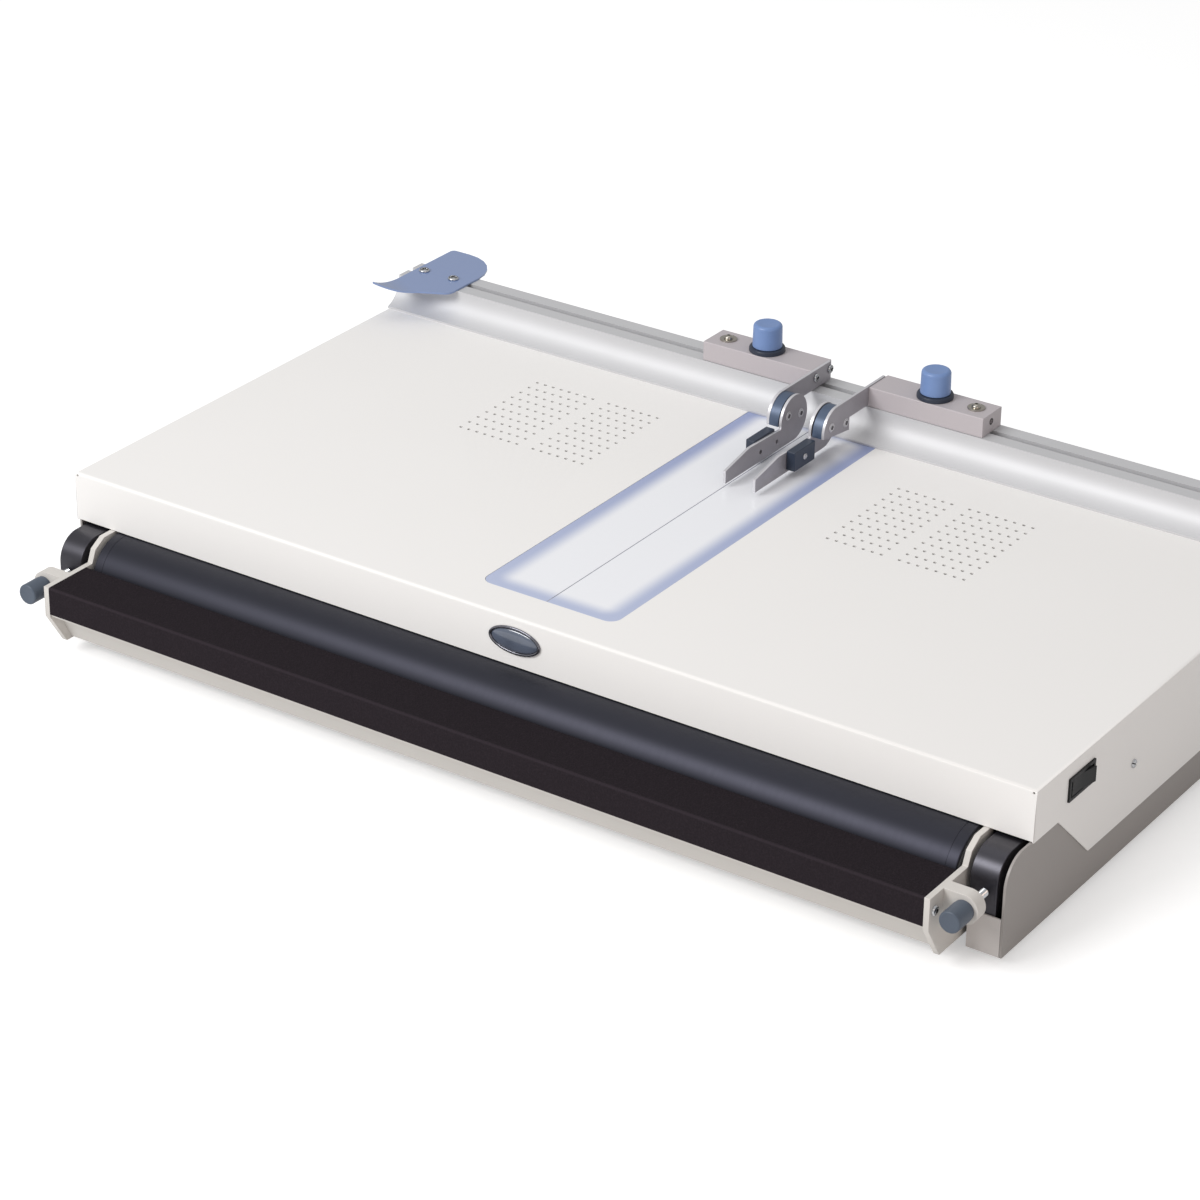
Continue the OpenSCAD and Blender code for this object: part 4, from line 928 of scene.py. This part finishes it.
@dataclass
class TableTop:
    """The folded cover, its lit window, the bare badge and the screws at the sides."""

    screw_radius: float = 4.4
    screw_y: tuple[float, float] = (-73.75, 191.25)
    screw_z: float = 96.0
    slot_turn: float = 62.0
    rim_width: float = 2.8
    rim_rise: float = 2.4
    rim_round: float = 1.0
    rim_steps: int = 96
    dome_steps: int = 12
    dome_foot: float = 0.12
    dome_low: float = 0.05

    def build(self) -> None:
        """Makes the cover and what is fixed to it."""
        Shape.of_node("top_cover", clean=False).piece(
            "folded_cover", Finishes.cover, Body.ROOT, "top_cover", smooth=30)
        soft_copy("light_window", "opal_window", Finishes.window, edge=0.3)
        self.badge()
        seat = span("top_cover").high.x
        head = ScrewHead(self.screw_radius, span("cover_screws").high.x - seat, Recess.SLOT,
                         length=4.0, crown=0.7)
        screws = Shape()
        for side in Side:
            for y in self.screw_y:
                screws.add(head.at((side.value, 0, 0), (side.value * seat, y, self.screw_z),
                                   self.slot_turn))
        screws.screws("side_screws", Body.ROOT, "cover_screws")

    def badge(self) -> None:
        """Makes the oval badge: a rounded rim round a smooth dome, with nothing on it."""
        box = span("front_badge")
        half = box.half
        seat = (box.middle.x, box.high.y, box.middle.z)
        rim = Shape()
        bmesh.ops.create_circle(rim.bm, cap_ends=True, segments=self.rim_steps, radius=1.0)
        rim.transform(Matrix.Diagonal((half.x, half.z, 1.0, 1.0)))
        bmesh.ops.inset_region(rim.bm, faces=rim.bm.faces[:], thickness=self.rim_width,
                               use_boundary=True, use_even_offset=True)
        # The inset leaves a ring of four-sided faces round the many-sided one in the middle
        centre = [face for face in rim.bm.faces if len(face.verts) > 4]
        bmesh.ops.delete(rim.bm, geom=centre, context="FACES")
        grown = bmesh.ops.extrude_face_region(rim.bm, geom=rim.bm.faces[:])["geom"]
        bmesh.ops.translate(rim.bm, vec=(0, 0, self.rim_rise), verts=[
            part for part in grown if isinstance(part, bmesh.types.BMVert)])
        rim.tidy().soften(self.rim_round, segments=3, angle=60).point((0, -1, 0), seat)
        rim.piece("badge_edge", Finishes.badge_rim, Body.ROOT, "front_badge", smooth=50)

        rise = 1 - self.dome_foot
        profile = [(0.0, 0.0), (1.0, 0.0)] + [
            (cosine, self.dome_foot + rise * sine)
            for sine, cosine in quarter(self.dome_steps)[:-1]
        ] + [(0.0, 1.0)]
        dome = Shape.lathe(profile)
        dome.transform(Matrix.Diagonal((half.x - self.rim_width, half.z - self.rim_width,
                                        box.high.y - box.low.y - self.dome_low, 1.0)))
        dome.point((0, -1, 0), seat)
        dome.piece("badge_centre", Finishes.badge, Body.ROOT, smooth=60)


@dataclass
class Base:
    """The pan, the side plates, the rear panel, the switch and the inlet."""

    panel_screw: ScrewHead = ScrewHead(3.4, 1.6, Recess.CROSS, shank=1.6, length=1.2)
    panel_screw_x: tuple[float, ...] = (-520, -260, 0, 260, 385, 415, 520)
    panel_screw_z: float = 22.0
    inlet_screw: ScrewHead = ScrewHead(2.6, 1.2, Recess.CROSS, shank=1.2, length=1.0)
    inlet_screw_in: float = 5.0
    spring_leg_in: float = 13.9
    spring_leg_out: float = 6.1

    def build(self) -> None:
        """Makes the sheet metal of the base and what is set into it."""
        soft_copy("base_pan", "floor_pan", Finishes.lip, edge=0.3)
        for side in Side:
            soft_copy(side.named("side_plate"), side.named("cheek"), Finishes.base, edge=0.45)
        soft_copy("rear_panel", "back_panel", Finishes.base, edge=0.3)
        soft_copy("base_feet", "feet", Finishes.foot, edge=0.8)
        soft_copy("switch_housing", "switch_bezel", Finishes.switch, edge=0.5)
        soft_copy("switch_rocker", "switch_rocker_cap", Finishes.switch, Body.ROCKER, edge=0.7,
                  segments=3)
        soft_copy("power_inlet", "inlet_socket", Finishes.switch, edge=0.5)
        self.screws()
        dress(Finishes.steel, "cross_rails", "bearing_blocks", "drive_motor")
        dress(Finishes.zinc, "motor_bracket", "power_supply", "roller_bearings",
              "nip_pivot_shaft")
        dress(Finishes.lip, "light_box")
        dress(Finishes.lamp, "light_tubes")
        dress(Finishes.switch, "tube_holders")
        dress(Finishes.belt, "drive_belt", "power_leads")
        self.springs()

    def screws(self) -> None:
        """Makes the screws of the rear panel and of the inlet."""
        heads = Shape()
        back, inlet = span("rear_panel").high.y, span("power_inlet")
        for x in self.panel_screw_x:
            heads.add(self.panel_screw.at((0, 1, 0), (x, back, self.panel_screw_z)))
        for x in (inlet.low.x + self.inlet_screw_in, inlet.high.x - self.inlet_screw_in):
            heads.add(self.inlet_screw.at((0, 1, 0), (x, inlet.high.y, inlet.middle.z)))
        heads.screws("panel_screws", Body.ROOT)

    def springs(self) -> None:
        """Makes the nip bar's two springs, whose inner legs stay on the base pan."""
        reach = span("nip_springs").high.x
        # The coil's fixed leg lies at its inner end, the other one at the end plate
        still, moving = reach - self.spring_leg_in, reach - self.spring_leg_out
        for side in Side:
            spring = Shape.of_node("nip_springs").without(lambda co: co.x * side.value < 0)
            nodes = ("nip_springs",) if side is Side.LEFT else ()
            spring.piece(side.named("nip_spring"), Finishes.steel, Body.ROOT, *nodes,
                         twist=(Body.NIP_BAR, still * side.value, moving * side.value))


@dataclass
class RollerLine:
    """The rubber roller, its shafts and the housings over its bearings."""

    wall: float = 3.0
    end_bevel: float = 1.2
    end_round: float = 0.35
    ring_in: float = 10.0
    ring_width: float = 1.0
    ring_depth: float = 0.3
    ring_slope: float = 0.15

    def build(self) -> None:
        """Makes the roller and its housings."""
        box = span("roller_sleeve")
        radius = (box.high.z - box.low.z) / 2
        half = (box.high.x - box.low.x) / 2
        sunk = radius - self.ring_depth
        ring = half - self.ring_in
        groove = ring - self.ring_width
        outside = [(radius - self.end_bevel, half),
                   (radius - self.end_round, half - self.end_round),
                   (radius, half - self.end_bevel), (radius, ring),
                   (sunk, ring - self.ring_slope), (sunk, groove + self.ring_slope),
                   (radius, groove)]
        bore = radius - self.wall
        profile = ([(bore, -half)] + [(r, -x) for r, x in outside]
                   + [(r, x) for r, x in reversed(outside)] + [(bore, half), (bore, -half)])
        Shape.lathe(profile, steps=128).point((1, 0, 0), tuple(box.middle)).piece(
            "rubber_sleeve", Finishes.roller, Body.ROLLER, "roller_sleeve", smooth=30)
        dress(Finishes.turned, "roller_core", "roller_pulley", "motor_pulley")
        dress(Finishes.zinc, "roller_shafts")
        for side in Side:
            soft_copy(side.named("roller_housing"), side.named("end_cap"), Finishes.housing,
                      edge=0.9, segments=3)


@dataclass
class NipBar:
    """The foam bar, its beam and plates, and the screws that set its gap."""

    bolt: ScrewHead = ScrewHead(5.0, 3.0, Recess.HEX, shank=2.5, length=4.0)
    foam_edge: float = 2.2
    foam_step: float = 9.0
    foam_cuts: tuple[float, ...] = (0.2, 0.4, 0.6, 0.8)
    foam_wave: float = 55.0
    foam_play: float = 0.25
    foam_seed: int = 7
    foam_end: float = 1.0
    foam_glue: float = 0.5
    pitch: float = 1.25
    thread_depth: float = 0.6
    thread_end: float = 0.4
    dish_in: float = 3.4
    dish_slope: float = 0.6
    dish_depth: float = 0.35
    knob_round: float = 1.5
    knob_edge: float = 0.4
    knob_step: float = 0.5
    knob_foot: float = 4.0
    knob_bore: float = 4.1
    knob_depth: float = 5.8

    def build(self) -> None:
        """Makes everything that tilts with the nip bar."""
        self.foam()
        soft_copy("nip_beam", "folded_beam", Finishes.nip, Body.NIP_BAR, edge=0.4)
        box = span("nip_screws")
        seat = max(abs(box.low.x), box.high.x) - self.bolt.height
        screws = Shape()
        for side in Side:
            soft_copy(side.named("nip_plate"), side.named("end_plate"), Finishes.nip,
                      Body.NIP_BAR, edge=0.7, segments=3)
            screws.add(self.bolt.at((side.value, 0, 0),
                                    (side.value * seat, box.middle.y, box.middle.z)))
            self.gap_screw(side)
            self.gap_knob(side)
        screws.screws("plate_screws", Body.NIP_BAR, "nip_screws")

    def foam(self) -> None:
        """Makes the foam bar with soft edges and the slight waves of cut foam."""
        box = span("nip_foam")
        low, high = box.low, box.high
        bar = Shape.slab(tuple(low), tuple(high))
        top = [edge for edge in bar.bm.edges
               if all(abs(vert.co.z - high.z) < TOUCH for vert in edge.verts)
               and abs(edge.verts[0].co.x - edge.verts[1].co.x) > self.foam_step]
        bmesh.ops.bevel(bar.bm, geom=top, offset=self.foam_edge, segments=4, profile=0.5,
                        affect="EDGES", material=-1)
        for step in range(1, int((high.x - low.x) / self.foam_step)):
            bar.divide((low.x + step * self.foam_step, 0, 0), (1, 0, 0))
        for share in self.foam_cuts:
            for normal in ((0, 1, 0), (0, 0, 1)):
                bar.divide(low.lerp(high, share), normal)
        noise.seed_set(self.foam_seed)
        for vert in bar.bm.verts:
            inside = low.x + self.foam_end < vert.co.x < high.x - self.foam_end
            if inside and vert.co.z > low.z + self.foam_glue:
                wave = noise.noise_vector(vert.co / self.foam_wave)
                # The front face only moves inwards, so that it stays within the CAD box
                front = vert.co.y <= low.y + self.foam_glue
                vert.co.y += (abs(wave.y) if front else wave.y) * self.foam_play
                vert.co.z -= abs(wave.z) * self.foam_play
        made = bar.tidy().piece("foam_bar", Finishes.foam, Body.NIP_BAR, "nip_foam", smooth=40)

    def gap_screw(self, side: Side) -> None:
        """Makes one threaded gap screw.

        Args:
            side: the end of the machine.
        """
        box = span(side.named("gap_screw"))
        radius = (box.high.x - box.low.x) / 2
        root = radius - self.thread_depth
        length = box.high.y - box.low.y
        profile = [(0.0, 0.0), (root, 0.0)]
        for turn in range(int(length / self.pitch)):
            start = turn * self.pitch
            profile += [(radius, start + self.pitch / 2), (root, start + self.pitch)]
        profile[-1] = (root, length - self.thread_end)
        profile += [(root - self.thread_depth, length), (0.0, length)]
        rod = Shape.lathe(profile, steps=32)
        rod.point((0, 1, 0), (box.middle.x, box.low.y, box.middle.z))
        rod.piece(side.named("threaded_rod"), Finishes.zinc, side.named("gap_screw"),
                  side.named("gap_screw"), smooth=25)

    def gap_knob(self, side: Side) -> None:
        """Makes one gap knob: a plain grip with a rounded front and a shallow step.

        Args:
            side: the end of the machine.
        """
        box = span(side.named("gap_knob"))
        radius = (box.high.x - box.low.x) / 2
        length = box.high.y - box.low.y
        turn, bore, depth = self.knob_round, self.knob_bore, self.knob_depth
        dish, step = radius - self.dish_in, length - self.knob_foot
        narrow, eased = radius - self.knob_step, self.knob_edge
        # A shallow dish in the front, its round edge, the step at the foot and the bore
        profile = [(0.0, self.dish_depth), (dish, self.dish_depth),
                   (dish + self.dish_slope, 0.0), (radius - turn, 0.0)]
        profile += [(radius - turn + turn * sine, turn - turn * cosine)
                    for sine, cosine in quarter(4)]
        profile += [(radius, step), (narrow, step + eased), (narrow, length - eased),
                    (narrow - eased, length), (bore, length), (bore, depth), (0.0, depth)]
        knob = Shape.lathe(profile)
        knob.point((0, 1, 0), (box.middle.x, box.low.y, box.middle.z))
        knob.piece(side.named("gap_grip"), Finishes.gap, side.named("gap_knob"),
                   side.named("gap_knob"), smooth=40)


@dataclass
class Fence:
    """The fence rail with its guide wing and what fixes them."""

    wing_thickness: float = 2.0
    screw_radius: float = 5.8
    wing_screws: tuple[float, float] = (-521.0, -482.0)

    def build(self) -> None:
        """Makes the rail and the wing."""
        soft_copy("fence_rail", "fence_extrusion", Finishes.rail, edge=0.35)
        soft_copy("guide_wing", "blue_wing", Finishes.wing, edge=0.5, smooth=50)
        box = span("rail_fixings")
        seat = span("fence_rail").high.z + self.wing_thickness
        fixings = Shape.of_node("rail_fixings").without(lambda co: co.z > seat - TOUCH)
        head = ScrewHead(self.screw_radius, box.high.z - seat, Recess.CROSS, shank=1.8,
                         length=0.5)
        for x in self.wing_screws:
            fixings.add(head.at((0, 0, 1), (x, box.middle.y, seat)))
        fixings.screws("rail_screws", Body.ROOT, "rail_fixings")


@dataclass
class Carriage:
    """One sliding carriage with its clamp, bracket, hub and hinged spine finger."""

    side: Side
    slot_y: float = 293.75
    pin: ScrewHead = ScrewHead(4.7, 1.0, Recess.HEX, shank=1.5, length=0.4, crown=0.75,
                               reach=0.6)
    bracket_pins: tuple[tuple[float, float], ...] = ((231.25, 185.0), (203.25, 190.0))
    finger_pins: tuple[tuple[float, float], ...] = ((225.25, 185.0), (201.75, 190.0))
    block_screw: ScrewHead = ScrewHead(3.0, 1.4, Recess.SLOT, shank=1.5, length=0.4)
    bracket_screw: ScrewHead = ScrewHead(4.5, 2.4, Recess.HEX, shank=2.5)
    bracket_screw_bite: float = 5.0
    bracket_screw_front: float = 3.3
    bracket_screw_rear: float = 7.3
    bracket_screw_down: float = 7.3
    nut_top: float = 0.2
    stud: float = 3.0
    stud_play: float = 0.05
    grip_round: float = 3.8
    grip_taper: float = 0.4
    grip_crown: float = 6.0
    crown_edge: float = 0.3
    crown_middle: float = 0.45
    collar_radius: float = 18.8
    collar_height: float = 5.0
    play: float = 0.3
    guide_screw: ScrewHead = ScrewHead(4.8, 3.4, Recess.HEX, shank=3.0, length=18.0, rim=0.15,
                                       crown=0.2, reach=0.34)
    guide_in: float = 18.5
    washer: float = 1.6
    washer_bore: float = 4.0
    washer_radius: float = 9.0
    insert_bore: float = 2.2
    insert_radius: float = 3.5
    insert_height: float = 0.3
    insert_forward: float = 1.5
    insert_down: float = 9.0

    def __post_init__(self) -> None:
        """Notes the sign of X, the way to name things and the two main bodies."""
        self.sign = self.side.value
        self.named = self.side.named
        self.body = self.named("carriage")
        self.finger_body = self.named("finger")

    def face(self, node: str, outer: bool = True) -> float:
        """X of a node's face that looks away from the middle, or of the other one.

        Args:
            node: the node's name without its side.
            outer: whether it is the face that looks away from the middle.

        Returns:
            The face's X.
        """
        box = span(self.named(node))
        return box.high.x if (self.sign > 0) == outer else box.low.x

    def build(self) -> None:
        """Makes the carriage from the rail to the finger's tip."""
        self.plain("carriage_block", "block", Finishes.block, self.body, edge=0.5)
        self.plain("arm_bracket", "bracket", Finishes.arm, self.body, edge=0.3,
                   rim=Finishes.arm_lit_edge)
        self.plain("pivot_hub", "pivot_hub", Finishes.hub, self.body, edge=0.3)
        self.plain("finger_hub", "thrust_washer", Finishes.turned, self.finger_body, edge=0.2)
        self.plain("finger", "finger_plate", Finishes.arm, self.finger_body, edge=0.3,
                   rim=Finishes.arm_lit_edge)
        self.plain("finger_block", "spine_block", Finishes.finger_block, self.finger_body,
                   edge=0.6)
        self.clamp()
        self.fixings()
        self.pins()

    def plain(self, kind: str, name: str, finish: Finish, body: str, edge: float,
              rim: Finish | None = None) -> None:
        """Makes a piece whose CAD shape only needs soft edges.

        Args:
            kind: kind of the node.
            name: the piece's name without its side.
            finish: what it is made of.
            body: the body that it rides on.
            edge: width of the rounding along its edges.
            rim: finish of its edges, with their painted highlight.
        """
        soft_copy(self.named(kind), self.named(f"{name}_shape"), finish, body, edge=edge,
                  segments=3, rim=rim)

    def pins(self) -> None:
        """Makes the screws that hold the hub, the finger and the finger's block."""
        ground = {"finish": Finishes.flush, "inside": Finishes.flush_floor}
        heads = Shape()
        outer = self.face("arm_bracket")
        for y, z in self.bracket_pins:
            heads.add(self.pin.at((self.sign, 0, 0), (outer, y, z)))
        heads.screws(self.named("bracket_pins"), self.body, **ground)

        heads = Shape()
        inner = self.face("finger", outer=False)
        for y, z in self.finger_pins:
            heads.add(self.pin.at((-self.sign, 0, 0), (inner, y, z)))
        middle = span(self.named("finger_block")).middle
        heads.add(self.block_screw.at((self.sign, 0, 0),
                                      (self.face("finger_block"), middle.y, middle.z)))
        heads.screws(self.named("finger_pins"), self.finger_body, **ground)

    def clamp(self) -> None:
        """Makes the clamp knob with its stud, and the dark collar under it."""
        box = span(self.named("clamp_knob"))
        block_top = span(self.named("carriage_block")).high.z
        radius = (box.high.x - box.low.x) / 2
        foot = block_top + self.collar_height + self.play
        height = box.high.z - foot
        turn, top = self.grip_round, radius - self.grip_taper
        profile = [(0.0, box.low.z - foot), (self.stud, box.low.z - foot), (self.stud, 0.0),
                   (top, 0.0), (radius, self.grip_taper), (top, height - turn)]
        profile += [(top - turn + turn * cosine, height - turn + turn * sine)
                    for sine, cosine in quarter(6)]
        profile += [(radius - self.grip_crown, height - self.crown_edge),
                    (0.0, height - self.crown_middle)]
        knob = Shape.lathe(profile).point((0, 0, 1), (box.middle.x, box.middle.y, foot))
        knob.piece(self.named("clamp_grip"), Finishes.clamp, self.named("clamp_knob"),
                   self.named("clamp_knob"), smooth=40)
        collar = Shape.lathe(ring(self.stud + self.stud_play, self.collar_radius,
                                  self.collar_height, foot=0.4,
                                  edge=[(0.0, 1.8), (0.6, 0.5), (1.6, 0.0)]))
        collar.point((0, 0, 1), (box.middle.x, box.middle.y, block_top))
        collar.piece(self.named("clamp_collar"), Finishes.collar, self.body, smooth=40)

    def fixings(self) -> None:
        """Makes the slot nuts, the bracket's screws, the guide screw and the thread insert."""
        block = span(self.named("carriage_block"))
        rail_top = span("fence_rail").high.z
        parts = Shape.of_node(self.named("carriage_fixings")).without(
            lambda co: co.z > rail_top + self.nut_top)
        inner = self.face("carriage_block", outer=False)
        plate = self.face("arm_bracket", outer=False)
        screw = replace(self.bracket_screw,
                        length=abs(inner - plate) + self.bracket_screw_bite)
        for y in (block.low.y + self.bracket_screw_front, block.high.y - self.bracket_screw_rear):
            parts.add(screw.at((-self.sign, 0, 0),
                               (plate, y, block.high.z - self.bracket_screw_down)))
        parts.screws(self.named("bracket_screws"), self.body, self.named("carriage_fixings"))

        outer = self.face("carriage_block")
        guide = self.guide_screw.shape().transform(Matrix.Translation((0, 0, self.washer)))
        guide.add(Shape.lathe(ring(self.washer_bore, self.washer_radius, self.washer, foot=0.2,
                                   edge=[(0.0, 0.3), (0.3, 0.0)]), steps=48))
        guide.point((0, 0, 1), (outer - self.sign * self.guide_in, self.slot_y, block.high.z))
        guide.piece(self.named("guide_screw"), Finishes.nickel, self.body, smooth=30)

        # The insert takes the recess's painted shade, so the threaded hole reads dark
        insert = Shape.lathe(ring(self.insert_bore, self.insert_radius, self.insert_height,
                                  foot=0.0, edge=[(0.0, 0.1), (0.2, 0.0)]), steps=32)
        insert.point((self.sign, 0, 0), (outer, self.slot_y - self.insert_forward,
                                         block.high.z - self.insert_down))
        insert.piece(self.named("thread_insert"), Finishes.socket, self.body, smooth=30)


@dataclass(frozen=True)
class Lamp:
    """One soft rectangular light, in metres and watts."""

    name: str
    place: Point
    target: Point
    size: tuple[float, float]
    power: float
    colour: str = "#FFFFFF"

    def hang(self) -> None:
        """Hangs the light so that it faces its target."""
        data = bpy.data.lights.new(self.name, "AREA")
        data.shape = "RECTANGLE"
        data.size, data.size_y = self.size
        data.energy = self.power
        data.color = linear(self.colour)[:3]
        lamp = new_object(self.name, data)
        lamp.location = self.place
        lamp.rotation_mode = "QUATERNION"
        lamp.rotation_quaternion = (Vector(self.target) - Vector(self.place)).to_track_quat(
            "-Z", "Y")


@dataclass
class Studio:
    """The pale floor, the soft lights and the camera at the photograph's view."""

    place: Point = (1.80519, -2.79634, 1.78483)
    azimuth: float = 34.07
    elevation: float = 27.33
    roll: float = 0.728
    focal_pixels: float = 3823.8
    image_pixels: float = 1200.0
    sensor: float = 36.0
    sky: float = 0.48
    floor_size: float = 30.0
    floor_colour: str = "#EDEDED"
    floor_roughness: float = 0.9
    floor_glow: float = 0.4
    lamps: tuple[Lamp, ...] = (
        Lamp("key", (-1.6, -3.6, 3.0), (0, 0, 0.1), (2.6, 1.8), 144),
        Lamp("top", (-0.4, 0.2, 3.4), (0, 0.1, 0.1), (2.4, 2.4), 12),
        Lamp("side", (2.4, -1.6, 1.0), (0.5, -0.1, 0.1), (1.4, 1.0), 5.5, "#FFE0CC"),
    )

    def build(self) -> None:
        """Sets up everything that isn't the machine."""
        self.camera()
        self.floor()
        self.world()
        for lamp in self.lamps:
            lamp.hang()
        bpy.context.scene.view_settings.view_transform = "Standard"

    def camera(self) -> None:
        """Places the camera that was fitted to the table's edges."""
        side, up = math.radians(self.azimuth), math.radians(self.elevation)
        back = Vector((math.sin(side) * math.cos(up), -math.cos(side) * math.cos(up),
                       math.sin(up)))
        data = bpy.data.cameras.new("photo_camera")
        data.sensor_width = self.sensor
        data.lens = self.focal_pixels / self.image_pixels * self.sensor
        camera = new_object("photo_camera", data)
        camera.rotation_mode = "QUATERNION"
        camera.rotation_quaternion = ((-back).to_track_quat("-Z", "Y")
                                      @ Matrix.Rotation(math.radians(self.roll), 3, "Z")
                                      .to_quaternion())
        camera.location = self.place
        bpy.context.scene.camera = camera

    def floor(self) -> None:
        """Makes the pale floor, which keeps the machine's shadow."""
        plane = Shape()
        bmesh.ops.create_grid(plane.bm, x_segments=1, y_segments=1, size=self.floor_size)
        mesh = plane.mesh("floor")
        material = bpy.data.materials.new("pale floor")
        material.use_nodes = True
        tree = material.node_tree
        shader = tree.nodes["Principled BSDF"]
        feed(tree, shader, {
            "Base Color": linear(self.floor_colour), "Roughness": self.floor_roughness,
            "Specular IOR Level": 0.0,
        })
        path = add_node(tree, "LightPath")
        glow = add_node(tree, "Emission", {"Color": WHITE, "Strength": self.floor_glow})
        sum_up = add_node(tree, "AddShader", {0: shader.outputs[0], 1: glow.outputs[0]})
        mix = add_node(tree, "MixShader", {
            0: path.outputs["Is Camera Ray"], 1: shader.outputs[0], 2: sum_up.outputs[0],
        })
        feed(tree, tree.nodes["Material Output"], {"Surface": mix.outputs[0]})
        mesh.materials.append(material)
        new_object("floor", mesh)

    def world(self) -> None:
        """Makes an even sky that the camera alone sees as white."""
        world = bpy.data.worlds.new("studio")
        world.use_nodes = True
        tree = world.node_tree
        path = add_node(tree, "LightPath")
        strength = add_node(tree, "MapRange", {
            "Value": path.outputs["Is Camera Ray"], "To Min": self.sky, "To Max": 1.0,
        })
        feed(tree, tree.nodes["Background"], {
            "Color": WHITE, "Strength": strength.outputs["Result"],
        })
        bpy.context.scene.world = world


def main() -> None:
    """Builds the machine and its studio."""
    logging.basicConfig(level=logging.INFO, format="%(message)s")
    Studio().build()
    for assembly in (TableTop(), Base(), RollerLine(), NipBar(), Fence(),
                     Carriage(Side.LEFT), Carriage(Side.RIGHT)):
        assembly.build()
    bpy.context.view_layer.update()


if __name__ == "__main__":
    main()
